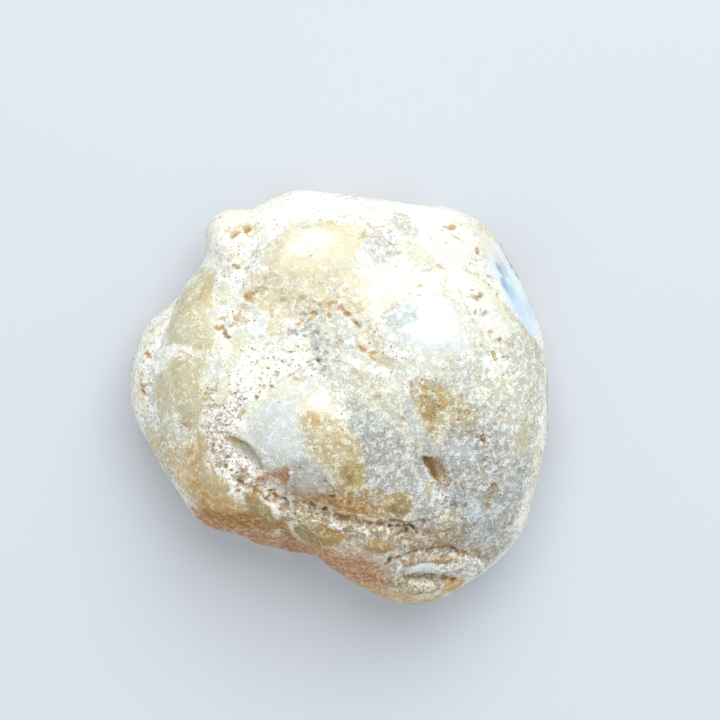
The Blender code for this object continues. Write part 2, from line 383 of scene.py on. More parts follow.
UPPER_PATCHES = (
    Patch("yellow window", YELLOW, (
        (262, 262), (266, 252), (274, 243), (281, 234), (290, 227), (300, 225), (325, 222), (350, 226),
        (372, 224), (370, 232), (366, 240), (356, 255), (356, 264), (352, 272), (342, 278), (312, 281),
        (290, 279), (275, 268)), 0.3),
    wash("yellow window top", PALE_YELLOW, (
        (284, 243), (296, 235), (315, 232), (332, 236), (338, 246), (322, 254), (300, 255), (288, 251),
    ), 0.9, 0.9),
    wash("yellow window foot", YELLOW, (
        (285, 262), (300, 262), (320, 258), (335, 262), (338, 272), (320, 278), (300, 278), (288, 272),
    ), 0.9, 0.6),
    wash("yellow window left", FAINT_YELLOW, (
        (262, 262), (266, 252), (274, 243), (283, 236), (284, 246), (278, 258), (270, 266)), 0.9, 0.5),
    wash("yellow window right", YELLOW, (
        (338, 222), (350, 226), (362, 224), (372, 224), (370, 232), (360, 247), (356, 255), (350, 262),
        (344, 250), (338, 236)), 0.9, 0.5),
    wash("mauve mottle", PALE_GREY, (
        (374, 232), (386, 232), (398, 238), (402, 250), (396, 262), (384, 266), (372, 262), (362, 256),
        (364, 244))),
    wash("yellow spill", PALE_YELLOW, (
        (344, 262), (372, 264), (400, 272), (404, 284), (382, 294), (362, 300), (350, 290), (340, 280),
    ), 0.8, 1.0),
    wash("crown grey", OLIVE_GREY, (
        (392, 210), (404, 211), (414, 222), (420, 236), (408, 238), (397, 230)), 0.9, 0.6),
    Patch("crown chalk", CHALK, (
        (418, 232), (440, 240), (452, 252), (440, 258), (424, 246)), 0.1, 1.0, 0.8, 0.6),
    Patch("pale lens", PALE_GREEN, (
        (405, 240), (412, 243), (420, 246), (428, 250), (434, 256), (438, 262), (430, 268), (420, 266),
        (412, 262), (408, 254)), 0.3),
    wash("boss edge", GREEN_MILK, (
        (383, 318), (392, 311), (402, 304), (415, 300), (430, 295), (446, 290), (455, 298), (464, 308),
        (470, 322), (477, 338), (476, 352), (470, 360), (440, 360), (412, 356), (402, 350), (387, 335),
        (383, 327))),
    Patch("boss", MILK, (
        (385, 319), (393, 312), (402, 305), (415, 301), (430, 297), (445, 300), (456, 312), (464, 330),
        (469, 342), (466, 352), (455, 357), (425, 354), (406, 346), (390, 334), (385, 327),
    ), 0.35, 2.0, 0.9, 0.5),
    # Partly painted highlight: the boss's whiter heart, where the bulge faces the light, over its milky
    # white.
    wash("boss heart", MILK_HEART_HIGHLIGHT, (
        (400, 322), (420, 310), (444, 308), (456, 325), (452, 342), (432, 348), (410, 342)), 0.9, 1.0),
    # Painted shade on the boss's bluish milk: the bluish grey along its left flank.
    wash("boss streak", BLUE_MILK, (
        (380, 318), (392, 311), (404, 304), (416, 302), (418, 312), (414, 322), (402, 326), (390, 330),
    ), 0.95, 0.5),
    wash("boss tail", OLIVE_TAN, ((371, 350), (385, 355), (398, 360), (392, 368), (383, 367), (375, 358))),
    wash("boss foot", GREEN_MILK, (
        (400, 358), (416, 361), (440, 363), (460, 364), (482, 358), (478, 373), (450, 376), (420, 376),
        (402, 372)), 0.9, 0.7),
    Patch("shoulder olive", PALE_GREEN, (
        (470, 262), (482, 268), (492, 280), (502, 298), (512, 314), (524, 330), (518, 338), (504, 322),
        (490, 306), (478, 288), (468, 274)), 0.1, 0.8, 0.8, 0.6),
    wash("rim yellow", YELLOW, ((482, 244), (491, 246), (497, 258), (488, 262), (482, 256)), 0.8, 0.4),
    wash("rim olive", OLIVE_GREY, (
        (510, 330), (526, 332), (541, 352), (548, 380), (540, 400), (524, 384), (514, 356)), 0.7, 0.8),
    wash("below the boss", SOFT_GREY, (
        (430, 372), (455, 370), (480, 364), (500, 376), (506, 398), (482, 406), (458, 398), (440, 388),
    ), 0.85, 1.2),
    Patch("shoulder chalk", CHALK, (
        (488, 352), (498, 350), (504, 362), (504, 380), (498, 390), (492, 378), (490, 364)), 0.1),
)

LEFT_PATCHES = (
    Patch("olive window", PALE_OLIVE, (
        (168, 325), (172, 312), (180, 300), (187, 288), (194, 278), (203, 268), (217, 270), (215, 282),
        (212, 292), (211, 300), (214, 310), (219, 320), (217, 330), (213, 340), (211, 350), (204, 355),
        (190, 348), (183, 343), (175, 344), (165, 345)), 0.25),
    wash("olive window side", PALE_OLIVE, (
        (168, 326), (174, 311), (184, 293), (193, 279), (197, 280), (190, 294), (180, 312), (174, 328),
    ), 0.7),
    wash("olive window amber", AMBER, (
        (178, 316), (184, 309), (195, 300), (204, 284), (211, 274), (212, 284), (208, 297), (196, 305),
        (186, 314)), 0.8, 0.4),
    wash("olive window pale side", PALE_GREEN, (
        (212, 302), (216, 312), (220, 320), (217, 330), (213, 342), (207, 334), (208, 316)), 0.6, 0.6),
    Patch("brown window", DIM_OLIVE, (
        (171, 360), (177, 354), (190, 355), (196, 360), (209, 358), (212, 363), (203, 375), (208, 390),
        (203, 403), (200, 422), (195, 428), (187, 430), (181, 427), (178, 418), (174, 398), (170, 390),
        (171, 378), (168, 370)), 0.25),
    wash("brown window right", PALE_GREEN, (
        (204, 361), (211, 360), (205, 372), (204, 380), (208, 390), (204, 400), (200, 388), (200, 372),
    ), 0.7, 0.5),
    wash("brown window left", PALE_OLIVE, (
        (160, 375), (170, 368), (173, 380), (172, 392), (176, 402), (176, 414), (168, 416), (158, 410),
        (152, 402), (151, 392), (154, 382))),
    Patch("pale spot one", PALE_GREEN, (
        (222, 283), (229, 284), (231, 292), (228, 300), (220, 301), (217, 294)), 0.1),
    Patch("pale spot two", PALE_GREEN, (
        (231, 331), (240, 330), (250, 331), (249, 339), (245, 347), (240, 352), (236, 358), (230, 357),
        (231, 345)), 0.15),
    Patch("pale spot three", PALE_GREEN, (
        (226, 360), (234, 356), (240, 355), (236, 366), (230, 373), (223, 372), (222, 366)), 0.1),
    wash("pale spot four", YELLOW, ((212, 343), (218, 344), (219, 352), (214, 356), (211, 350))),
    Patch("pale spot five", PALE_GREEN, (
        (222, 378), (231, 376), (231, 388), (229, 400), (222, 407), (214, 405), (216, 394), (219, 386),
    ), 0.1),
    wash("channel", ICE, (
        (212, 362), (221, 358), (221, 372), (216, 384), (211, 394), (208, 388), (205, 376)), 0.7, 0.5),
    wash("blue white patch", ICE, (
        (246, 300), (254, 302), (262, 314), (266, 326), (260, 330), (252, 320)), 0.7, 0.6),
    wash("brown mottle", RUST, (
        (254, 284), (262, 290), (254, 300), (246, 312), (238, 318), (236, 306), (240, 294)), 0.7, 0.6),
    wash("mottle ochre", DARK_RUST, ((243, 290), (250, 292), (250, 299), (244, 299)), 0.5),
    wash("seam rust", RUST, ((232, 315), (246, 314), (247, 320), (242, 327), (235, 325), (230, 320)), 0.8),
    wash("foot grey", OLIVE_GREY, (
        (140, 412), (150, 410), (162, 420), (178, 430), (196, 430), (200, 436), (184, 440), (160, 432),
        (146, 426)), 0.8, 0.6),
    wash("foot left top", SANDY, (
        (146, 428), (168, 434), (178, 440), (190, 452), (180, 470), (166, 460), (152, 442)), 0.8, 0.6),
    wash("foot ochre", GOLD, (
        (186, 442), (197, 444), (199, 464), (205, 486), (206, 502), (198, 500), (192, 488), (192, 470),
        (186, 456)), 0.9, 0.5),
    wash("foot cream", APRICOT, (
        (168, 456), (182, 460), (191, 472), (196, 490), (188, 490), (176, 474)), 0.85, 0.6),
    Patch("foot olive", AMBER, (
        (199, 432), (206, 432), (207, 450), (208, 466), (216, 472), (226, 480), (231, 490), (222, 497),
        (212, 495), (204, 486), (199, 470), (197, 455), (194, 440)), 0.15),
    wash("foot low ochre", OCHRE, (
        (196, 498), (225, 506), (245, 508), (262, 512), (280, 526), (274, 536), (240, 530), (206, 520),
    ), 0.95, 0.7),
    wash("foot gold", GOLD, (
        (184, 476), (198, 480), (212, 493), (236, 498), (248, 508), (238, 515), (214, 510), (196, 500),
    ), 0.9, 0.5),
    Patch("foot olive right", DARK_OLIVE, (
        (242, 492), (256, 495), (268, 502), (273, 514), (284, 530), (272, 530), (256, 514), (244, 504),
    ), 0.1),
    Patch("foot cleft", OCHRE, (
        (274, 516), (284, 520), (290, 530), (296, 542), (286, 540), (278, 530)), -0.2, 0.8, 0.9, 0.4),
    # Partly painted reflection: warm bounced light on the rim, over its rose rind.
    wash("foot rim", PINK_RIND_AND_BOUNCE, (
        (196, 514), (220, 523), (245, 530), (270, 535), (290, 536), (306, 542), (312, 562), (290, 562),
        (262, 557), (235, 547), (200, 530)), 0.9, 0.5),
)

MIDDLE_PATCHES = (
    wash("pink tan", TAN, (
        (256, 282), (284, 283), (310, 282), (330, 290), (328, 306), (306, 318), (284, 324), (262, 316),
        (256, 300)), 0.85, 0.4),
    wash("tan ochre", YELLOW, (
        (288, 284), (312, 283), (330, 286), (332, 296), (318, 299), (300, 296)), 0.85, 0.4),
    wash("tan left ochre", YELLOW, ((262, 290), (276, 288), (282, 298), (276, 306), (264, 302)), 0.7),
    wash("tan island", CHALK, ((274, 308), (280, 306), (281, 313), (275, 316)), 0.9),
    wash("ochre under the tan", TAN, (
        (264, 322), (280, 320), (288, 328), (286, 338), (276, 343), (266, 336)), 0.8),
    Patch("ledge amber", WARM_WHITE, (
        (326, 300), (340, 298), (356, 312), (366, 330), (374, 346), (366, 350), (352, 330), (338, 312),
    ), 0.1, 0.8, 0.7, 0.5),
    wash("middle chalk", CHALK, (
        (284, 330), (300, 322), (308, 332), (306, 350), (292, 356), (282, 346)), 0.8, 0.6),
    wash("ledge olive", TAN, ((346, 298), (362, 298), (368, 306), (360, 313), (350, 310)), 0.7, 0.5),
    wash("ledge tail", TAN, ((372, 328), (379, 332), (383, 345), (380, 352), (373, 344)), 0.7, 0.5),
    Patch("dark middle", COOL_GREY, (
        (310, 326), (320, 328), (322, 342), (320, 358), (311, 356)), -0.15, 0.6, 0.9),
    wash("dark middle right", SOFT_GREY, (
        (322, 344), (346, 336), (348, 350), (342, 362), (322, 362)), 0.7, 0.5),
    wash("lavender middle", PALE_GREY, (
        (346, 324), (358, 330), (362, 344), (350, 348), (344, 336)), 0.6, 0.6),
    Patch("green lens", PALE_GREEN, (
        (322, 325), (332, 328), (337, 338), (333, 345), (326, 335)), 0.1, 0.8, 0.85),
    Patch("white below the ledge", CHALK, (
        (348, 354), (360, 358), (372, 364), (388, 368), (392, 376), (378, 376), (360, 370), (350, 364),
    ), 0.05, 0.8, 0.9),
    Patch("ledge hole left", OCHRE_HOLE, ((305, 321), (312, 315), (314, 318), (307, 324)), -0.5, 0.5),
    Patch("ledge hole deepest", OCHRE_HOLE, (
        (356, 344), (361, 344), (369, 350), (367, 353), (361, 349)), -0.7, 0.4),
    wash("blue grey below", ICE, ((388, 378), (398, 377), (400, 384), (392, 386)), 0.7),
    Patch("green patch", PALE_GREEN, (
        (373, 387), (382, 387), (398, 388), (398, 394), (385, 395), (374, 393)), 0.05),
    wash("green patch foot", DARK_RUST, (
        (374, 395), (380, 397), (388, 397), (388, 400), (376, 399)), 0.5, 0.2),
    wash("right of the centre", STONE_GREY, (
        (342, 398), (360, 396), (375, 418), (392, 440), (396, 470), (386, 486), (370, 476), (362, 452),
        (350, 428)), 0.8, 1.0),
    wash("centre milk", ICE, (
        (258, 406), (270, 400), (284, 399), (298, 402), (304, 412), (301, 424), (303, 438), (298, 450),
        (286, 457), (272, 457), (258, 447), (246, 437), (238, 430), (250, 427), (258, 420)), 0.9, 0.7),
    Patch("centre green", PALE_GREEN, (
        (262, 398), (270, 390), (280, 383), (290, 379), (302, 380), (305, 388), (302, 396), (282, 397),
        (272, 399), (262, 408), (258, 420), (248, 421), (240, 420), (238, 414), (248, 406)), 0.15, 0.8),
    wash("centre halo", YELLOW, (
        (298, 396), (308, 390), (322, 388), (332, 394), (336, 404), (334, 418), (320, 420), (304, 414),
        (298, 406)), 0.8, 0.8),
    # Painted highlight: the brightest spot on the centre lobe, where it faces the light.
    Patch("centre white", SMOOTH_WHITE, (
        (318, 393), (324, 390), (328, 397), (331, 403), (326, 409), (318, 411), (310, 406), (305, 401),
        (311, 396)), 0.2, 1.0, 0.95, 0.5),
    wash("centre yellow", GOLDEN_RIND, (
        (300, 412), (318, 415), (334, 418), (348, 426), (358, 440), (364, 456), (368, 474), (363, 490),
        (350, 493), (338, 488), (330, 476), (318, 464), (308, 452), (303, 438), (300, 424)), 0.85, 1.1),
    wash("centre yellow light", TAN, (
        (318, 426), (330, 424), (344, 434), (346, 446), (334, 448), (324, 442), (316, 436)), 0.5, 0.7),
    wash("centre olive", OLIVE, (
        (343, 462), (352, 460), (362, 467), (363, 478), (356, 490), (346, 486), (341, 474)), 0.85, 0.7),
    wash("centre foot grey", ROSY_GREY, (
        (291, 458), (304, 456), (318, 464), (328, 476), (332, 488), (318, 494), (300, 492), (291, 482),
        (289, 470)), 0.9, 0.6),
    Patch("rust mottle", RUST_MOTTLE, (
        (420, 380), (436, 385), (450, 392), (462, 398), (472, 406), (478, 418), (468, 426), (452, 424),
        (440, 436), (436, 444), (431, 434), (424, 424), (418, 410), (416, 394)), -0.2, 1.2, 0.85, 1.0),
    wash("rust streak", DARK_RUST, (
        (419, 394), (428, 396), (434, 404), (438, 413), (436, 424), (432, 434), (425, 425), (420, 412),
    ), 0.45, 0.8),
    wash("rust ochre", DARK_RUST, (
        (422, 410), (430, 407), (438, 412), (436, 422), (432, 432), (426, 424)), 0.8, 0.5),
    wash("rust yellow", YELLOW, ((430, 370), (438, 369), (441, 376), (434, 379)), 0.7),
    wash("rust upper orange", RUST, ((420, 382), (427, 383), (427, 392), (421, 392)), 0.9),
    # Painted shade: a darker copy of the ice tone.
    Patch("pale beside the rust", SHADED_ICE, (
        (408, 392), (414, 400), (418, 414), (424, 430), (432, 440), (442, 448), (432, 450), (420, 444),
        (410, 430), (405, 414), (404, 400)), 0.1, 0.8, 0.85, 0.4),
    wash("small ochre", DARK_RUST, ((398, 416), (406, 414), (410, 417), (407, 421), (400, 421)), 0.7),
    # Painted shade: the grey of the scoop's shaded slope, laid in the hollow.
    Patch("scoop", DULL_GREY, (
        (236, 437), (246, 440), (254, 449), (260, 460), (264, 470), (260, 474), (252, 464), (244, 453),
        (236, 446)), -0.6, 0.9, 0.95, 0.4),
    Patch("scoop end", OLIVE_GOLD, (
        (226, 438), (232, 435), (240, 438), (242, 445), (236, 447), (229, 443)), -0.3, 0.5),
    Patch("dent", PINK_RIND_AND_BOUNCE, (
        (262, 474), (270, 470), (278, 468), (285, 465), (290, 472), (289, 482), (281, 485), (270, 481),
        (258, 483), (254, 479)), -0.4, 1.2, 0.8, 0.9),
    Patch("dent end", OCHRE, (
        (282, 468), (287, 467), (289, 475), (288, 484), (283, 481)), -0.15, 0.5, 0.8, 0.5),
)

LOWER_PATCHES = (
    wash("shelf ochre", OCHRE, (
        (292, 498), (310, 492), (330, 492), (350, 496), (364, 503), (378, 513), (388, 520), (372, 521),
        (356, 519), (342, 513), (328, 507), (310, 503)), 0.9, 1.2),
    wash("shelf pink", BROWN_RIND, (
        (276, 506), (300, 504), (320, 508), (338, 514), (352, 522), (338, 525), (318, 519), (300, 513),
        (280, 513))),
    Patch("shelf white", SHELF_CREAM, (
        (274, 517), (290, 509), (305, 512), (318, 518), (332, 522), (324, 526), (308, 524), (292, 519),
        (280, 523)), 0.15, 0.6),
    wash("shelf yellow", DARK_RUST, (
        (298, 522), (316, 523), (330, 527), (340, 533), (343, 543), (328, 546), (310, 544), (296, 536),
        (292, 528))),
    wash("shelf green", DRAB, ((334, 522), (346, 525), (357, 532), (357, 541), (346, 541), (338, 534))),
    Patch("crumb band", DRAB, (
        (354, 525), (370, 527), (386, 530), (398, 533), (405, 540), (398, 544), (382, 538), (366, 538),
        (354, 535)), 0.2, 0.6),
    Patch("yellow lens", DARK_OLIVE, (
        (360, 546), (370, 540), (380, 539), (391, 542), (397, 548), (390, 554), (378, 553), (366, 552),
    ), 0.3, 0.8),
    # Partly painted reflection: warm bounced light on the lower side, over its rose rind.
    wash("pink side", PINK_RIND_AND_BOUNCE, (
        (300, 545), (330, 545), (350, 549), (366, 555), (380, 564), (388, 578), (380, 600), (356, 604),
        (336, 590), (318, 576), (300, 560)), 0.9, 1.6),
    Patch("olive lens", DARK_OLIVE, (
        (371, 504), (380, 499), (390, 495), (402, 493), (411, 500), (411, 510), (404, 519), (392, 515),
        (380, 509)), 0.3, 1.0),
    wash("olive lens heart", OLIVE_HEART, (
        (382, 505), (396, 502), (408, 505), (402, 512), (390, 511)), 0.9, 0.5),
    wash("olive lens light", LENS_GREEN, (
        (373, 504), (382, 499), (391, 499), (389, 506), (380, 509)), 0.8, 0.4),
    Patch("olive lens foot", SHELF_CREAM, (
        (374, 508), (382, 511), (394, 515), (405, 517), (402, 522), (388, 521), (376, 514)), 0.1, 0.5, 0.8),
    Patch("strip", DRAB, (
        (402, 538), (420, 534), (442, 536), (440, 547), (420, 549), (403, 549)), 0.15, 0.8, 0.9, 0.4),
    Patch("fold", CRUMB_CREAM, (
        (392, 572), (396, 562), (410, 556), (430, 552), (452, 552), (474, 555), (486, 560), (482, 572),
        (466, 580), (448, 574), (424, 573), (404, 576)), 0.7, 0.7, 0.9, 0.4),
    Patch("fold yellow", BROWN_RIND, (
        (396, 562), (412, 556), (430, 553), (450, 553), (460, 558), (444, 561), (424, 560), (406, 565),
    ), 0.15, 0.4),
    Patch("fold ice", ICE, (
        (404, 567), (414, 561), (428, 560), (434, 564), (424, 570), (410, 571)), 0.2, 0.5),
    Patch("fold lip", CRUMB_CREAM, (
        (414, 580), (432, 579), (444, 583), (442, 590), (424, 593), (408, 590)), 0.6, 0.6, 0.85, 0.4),
    wash("third ochre", GOLD, (
        (442, 579), (454, 577), (465, 580), (460, 589), (448, 593), (440, 590)), 0.9, 0.5),
    Patch("third cream", SHELF_CREAM, (
        (386, 578), (410, 578), (438, 582), (438, 590), (420, 595), (396, 591)), 0.1, 0.8, 0.85, 0.5),
    wash("bottom edge", GOLD, (
        (356, 582), (380, 584), (400, 593), (424, 598), (446, 594), (446, 612), (396, 614), (362, 602),
    ), 0.8, 0.5),
    Patch("teardrop slope", BROWN_RIND, (
        (422, 456), (434, 457), (443, 465), (450, 478), (448, 486), (440, 489), (434, 476), (426, 464),
    ), -0.5, 1.0, 0.9, 0.6),
    # A dark stain deepened with painted shadow, down in the slit.
    Patch("teardrop slit", MOSS_SHADOW, (
        (421, 457), (427, 457), (433, 463), (438, 474), (441, 485), (438, 487), (434, 480), (429, 470),
        (424, 463)), -0.45, 0.5, 0.95, 0.35),
    Patch("lens by the teardrop", LENS_GREEN, (
        (424, 482), (430, 480), (435, 488), (437, 496), (431, 499), (426, 492)), 0.1, 0.6),
    Patch("cream crumbs", CRUMB_CREAM, (
        (430, 496), (440, 489), (451, 495), (453, 512), (445, 521), (434, 519), (429, 507),
    ), 0.2, 0.6, 0.9, 0.4),
    wash("blue patch one", BLUE_MILK, (
        (445, 449), (458, 446), (474, 450), (472, 458), (448, 459)), 0.5, 0.6),
    Patch("blue patch two", BLUE_MILK, (
        (463, 504), (474, 499), (486, 503), (490, 513), (480, 518), (467, 513)), 0.1),
    Patch("right hollow", DRAB, ((488, 494), (490, 486), (497, 483), (499, 488), (495, 494)), -0.6, 0.5),
    wash("olive upper right", OLIVE_GREY, (
        (476, 384), (500, 376), (522, 378), (530, 400), (522, 420), (500, 426), (480, 414)), 0.7, 1.2),
    wash("right yellow zone", YELLOW_GREY, (
        (521, 418), (530, 416), (534, 430), (533, 450), (526, 460), (516, 457), (514, 445), (519, 432),
    ), 0.85, 0.4),
)

PATCHES = LEFT_PATCHES + UPPER_PATCHES + MIDDLE_PATCHES + LOWER_PATCHES

UPPER_MARKS = (
    Mark("crown ice streak", ICE, ((298, 211), (332, 211)), 0.5, 0.5),
    Mark("crown ice streak right", ICE, ((352, 206), (378, 210)), 0.6, 0.4),
    Mark("crown left cream", CREAM, ((258, 207), (285, 199)), 1.1, 0.6),
    Mark("corner lobe", CREAM, ((212, 228), (228, 216), (248, 211)), 2.4, 0.9, 0.25, edge=0.8),
    Mark("corner lobe brown side", TAN, ((205, 232), (206, 248)), 0.9, 0.6),
    groove("corner notch", CHALK, ((247, 204), (252, 222), (246, 244)), 0.8, 0.5, 0.4),
    groove("corner cavity halo", RUST, ((228, 234), (236, 229), (244, 225)), 0.9, 0.5, 0.2),
    groove("corner cavity", OCHRE_HOLE, ((232, 237), (238, 231)), 0.32, 0.9, 0.6),
    groove("corner cavity depth", OCHRE_HOLE, ((244, 229), (249, 223)), 0.42, 0.95, 0.8),
    Mark("tan under the corner", TAN, ((218, 252), (236, 250)), 0.9, 0.4),
    Mark("yellow tail", YELLOW, ((342, 276), (362, 284), (368, 298)), 1.3, 0.6),
    groove("yellow border top", THREAD, ((286, 226), (303, 227), (320, 223), (346, 216)), 0.25, 0.5, 0.2),
    groove("pale lens line", THREAD, ((408, 240), (417, 248), (426, 254)), 0.22, 0.7, 0.2),
    groove("brown thread", THREAD, (
        (413, 273), (420, 272), (430, 270), (436, 265), (443, 264)), 0.22, 0.8, 0.2),
    Mark("upper right ridge", YELLOW, ((455, 225), (470, 227), (482, 232)), 0.9, 0.7, 0.25),
    groove("upper right line", STAIN, ((453, 235), (459, 238), (465, 245)), 0.2, 0.6, 0.3),
    groove("upper right deep pit", DEEP_STAIN_AND_SHADOW, ((479, 249), (480, 255)), 0.4, 1.0, 0.8),
    groove("upper right second pit", STAIN, ((474, 260), (478, 262)), 0.3, 0.7, 0.4),
    Mark("upper right ochre", YELLOW, ((484, 250), (490, 256)), 0.9, 0.6),
    groove("rim groove", THREAD, ((474, 224), (487, 234), (496, 246), (500, 257)), 0.25, 0.5, 0.3),
    Mark("rim grey green", COOL_GREY, ((486, 262), (497, 250), (503, 262)), 1.0, 0.5),
    Mark("rim ice", ICE, ((487, 270), (493, 278)), 0.8, 0.7),
    groove("shoulder thread", THREAD, ((462, 268), (476, 276), (488, 283), (499, 298)), 0.22, 0.8, 0.3),
    groove("border vein", THREAD, (
        (457, 290), (463, 300), (469, 308), (476, 324), (484, 338)), 0.25, 0.8, 0.4),
    groove("boss left crease", GREY_CRUMB, ((378, 317), (384, 313), (390, 310)), 0.3, 0.6, 0.5),
    Mark("boss left ochre", STAIN, ((390, 303), (397, 307)), 0.5, 0.5),
    Mark("shoulder rust band", STAIN, ((496, 341), (505, 344), (514, 348)), 0.5, 0.4, -0.2),
    Mark("window border ochre", YELLOW_GREY, ((506, 308), (516, 318), (526, 328)), 0.7, 0.7),
    Mark("window border olive", YELLOW_GREY, ((526, 332), (534, 346), (541, 362)), 0.9, 0.7),
)

LEFT_MARKS = (
    Mark("left edge chalk", CHALK, ((202, 260), (189, 282), (177, 299), (167, 314)), 0.5, 0.8),
    Mark("window chalk edge", VEIN, (
        (219, 272), (216, 292), (217, 308), (223, 322), (218, 342)), 0.35, 0.6, 0.1),
    groove("lobe seam", COOL_GREY, (
        (170, 314), (163, 335), (156, 356), (153, 380), (149, 405)), 0.6, 0.6, 0.35),
    Mark("lobe seam light", VEIN, ((168, 318), (160, 340), (154, 362)), 0.4, 0.7),
    Mark("white vein", VEIN, (
        (158, 356), (170, 353), (180, 347), (192, 351), (202, 357), (212, 356)), 0.35, 0.9, 0.1),
    groove("vein shade", OLIVE_GREY, (
        (170, 358), (180, 352), (188, 353), (199, 360), (206, 357)), 0.18, 0.8, 0.2),
    Mark("lobe pit glow", TAN, ((140, 384), (145, 388), (142, 396)), 0.9, 0.7),
    groove("lobe pit", DEEP_STAIN_AND_SHADOW, ((141, 386), (143, 394)), 0.35, 0.8, 0.8),
    Mark("lobe rim", TAN, ((131, 352), (130, 385), (134, 412)), 0.6, 0.5),
    groove("foot right edge", GOLD, ((207, 446), (209, 462), (214, 470)), 0.3, 0.6, 0.3),
    groove("seam pit", DEEP_STAIN_AND_SHADOW, ((223, 332), (226, 336)), 0.35, 0.9, 0.7),
    Mark("seam edge", STAIN, ((221, 326), (224, 330)), 0.3, 0.6, -0.2),
)

RUST_SIDE = ((412, 384), (415, 400), (421, 418), (429, 432), (436, 444))

MIDDLE_MARKS = (
    Mark("upright vein", VEIN, ((331, 278), (332, 297)), 0.32, 0.8, 0.1),
    groove("ledge shade", TAN, ((300, 318), (318, 314), (336, 304), (350, 318), (362, 338)), 0.4, 0.2, 0.4),
    groove("ledge hole middle", OCHRE_HOLE, ((326, 307), (331, 304), (336, 302)), 0.3, 0.9, 0.5),
    groove("ledge hole upright", OCHRE_HOLE, ((328, 311), (330, 317)), 0.25, 0.8, 0.5),
    groove("ledge hole right", OCHRE_HOLE, ((338, 309), (343, 311), (348, 315)), 0.3, 0.9, 0.6),
    groove("ledge hole low", STAIN, ((351, 320), (355, 324), (358, 328)), 0.25, 0.8, 0.5),
    groove("ledge foot line", STAIN, ((372, 356), (375, 361)), 0.25, 0.8, 0.3),
    groove("brown hollow", TAN, ((365, 333), (368, 338)), 0.5, 0.8, 0.5),
    groove("crumb line", STAIN, ((290, 376), (295, 372), (300, 369)), 0.18, 0.6, 0.3),
    Mark("amber crumb", STAIN, ((296, 378), (300, 381), (304, 378)), 0.3, 0.8, -0.3),
    Mark("ochre streak", STAIN, ((352, 372), (362, 380)), 0.3, 0.35),
    groove("centre seam", THREAD, (
        (238, 412), (250, 403), (262, 395), (272, 386), (280, 381)), 0.2, 0.8, 0.25),
    groove("centre foot crack", DEEP_STAIN_AND_SHADOW, ((325, 480), (327, 485), (331, 489)), 0.2, 0.6, 0.3),
    groove("centre lower fold", RUST, ((291, 456), (297, 455), (302, 452)), 0.3, 0.5, 0.2),
    groove("rust edge", STAIN, RUST_SIDE, 0.3, 0.5, 0.5),
    ledge("rust ledge", STAIN, RUST_SIDE, 2.2, -0.5),
    Mark("dent wall", CRUMB_CREAM, ((290, 462), (291, 478), (288, 496)), 0.3, 0.6, 0.2),
    groove("dent pit", BLACK_STAIN_AND_SHADOW, ((274, 495), (279, 498), (285, 500)), 0.25, 0.9, 0.6),
)

LOWER_MARKS = (
    ledge("ledge step", PINK_RIND_AND_BOUNCE, (
        (276, 499), (312, 502), (345, 516), (382, 524), (402, 526), (432, 518), (442, 511)), 2.6, 0.4),
    # The crevices under the ledge: stain, deepened with painted shadow where the ledge overhangs.
    groove("crevice left", OCHRE, ((292, 501), (304, 503), (312, 505)), 0.25, 0.7, 0.5),
    groove("crevice brown", OCHRE, ((328, 503), (340, 508), (352, 512)), 0.35, 0.8, 0.5),
    groove("crevice dark", DEEP_STAIN_AND_SHADOW, ((322, 509), (328, 508), (333, 511)), 0.2, 0.7, 0.3),
    groove("crevice low", DEEP_STAIN_AND_SHADOW, ((336, 517), (344, 519), (351, 521)), 0.3, 0.8, 0.5),
    groove("crevice middle", OCHRE, ((352, 521), (366, 522), (384, 524)), 0.25, 0.6, 0.5),
    groove("crevice roof", DEEP_STAIN_AND_SHADOW, ((392, 520), (404, 523), (414, 522), (426, 521)), 0.35, 0.8, 0.6),
    groove("crevice deep", BLACK_STAIN_AND_SHADOW, ((390, 526), (400, 527), (410, 526), (415, 529)), 0.3, 0.9, 0.8),
    groove("crevice foot", DEEP_STAIN_AND_SHADOW, ((386, 530), (392, 532), (397, 530)), 0.3, 0.7, 0.5),
    groove("crevice right", OCHRE, ((426, 532), (436, 533), (446, 531)), 0.25, 0.5, 0.3),
    groove("shelf ochre streak", OCHRE, ((324, 529), (330, 532), (342, 535)), 0.5, 0.7, 0.2),
    Mark("fold roof", OCHRE, ((428, 547), (440, 545), (456, 549), (466, 554)), 0.35, 0.7),
    # The fold's crevices and black pit: stain, deepened with painted shadow.
    groove("fold crevice", DEEP_STAIN_AND_SHADOW, (
        (396, 559), (406, 555), (426, 550), (446, 548), (463, 552)), 0.35, 0.75, 0.6),
    groove("fold black pit", BLACK_STAIN_AND_SHADOW, ((385, 564), (389, 562), (393, 559)), 0.45, 1.0, 0.8),
    groove("third crevice", DEEP_STAIN_AND_SHADOW, (
        (404, 577), (418, 576), (432, 577), (444, 578), (454, 581)), 0.35, 0.8, 0.9),
    Mark("third line", ICE, ((408, 584), (420, 582), (432, 586)), 0.3, 0.6, 0.1),
    Mark("teardrop lip", OLIVE_GREY, ((419, 459), (425, 468), (431, 478), (436, 488)), 0.25, 0.7, 0.2),
    Mark("right pit white", VEIN, ((481, 444), (485, 447)), 0.3, 0.9, 0.15),
    groove("right pit shade", DEEP_STAIN_AND_SHADOW, ((475, 450), (480, 449), (485, 449)), 0.25, 0.6, 0.3),
    Mark("right rim line", COOL_GREY, (
        (539, 352), (538, 380), (537, 420), (533, 452), (529, 476), (524, 495)), 0.5, 0.85, 0.1),
    groove("right rim shade", THREAD, ((533, 384), (535, 394), (534, 408)), 0.18, 0.6, 0.2),
    Mark("right outer strip", DULL_GREY, ((547, 378), (548, 430), (543, 462), (535, 488)), 0.6, 0.7),
)

MARKS = UPPER_MARKS + LEFT_MARKS + MIDDLE_MARKS + LOWER_MARKS

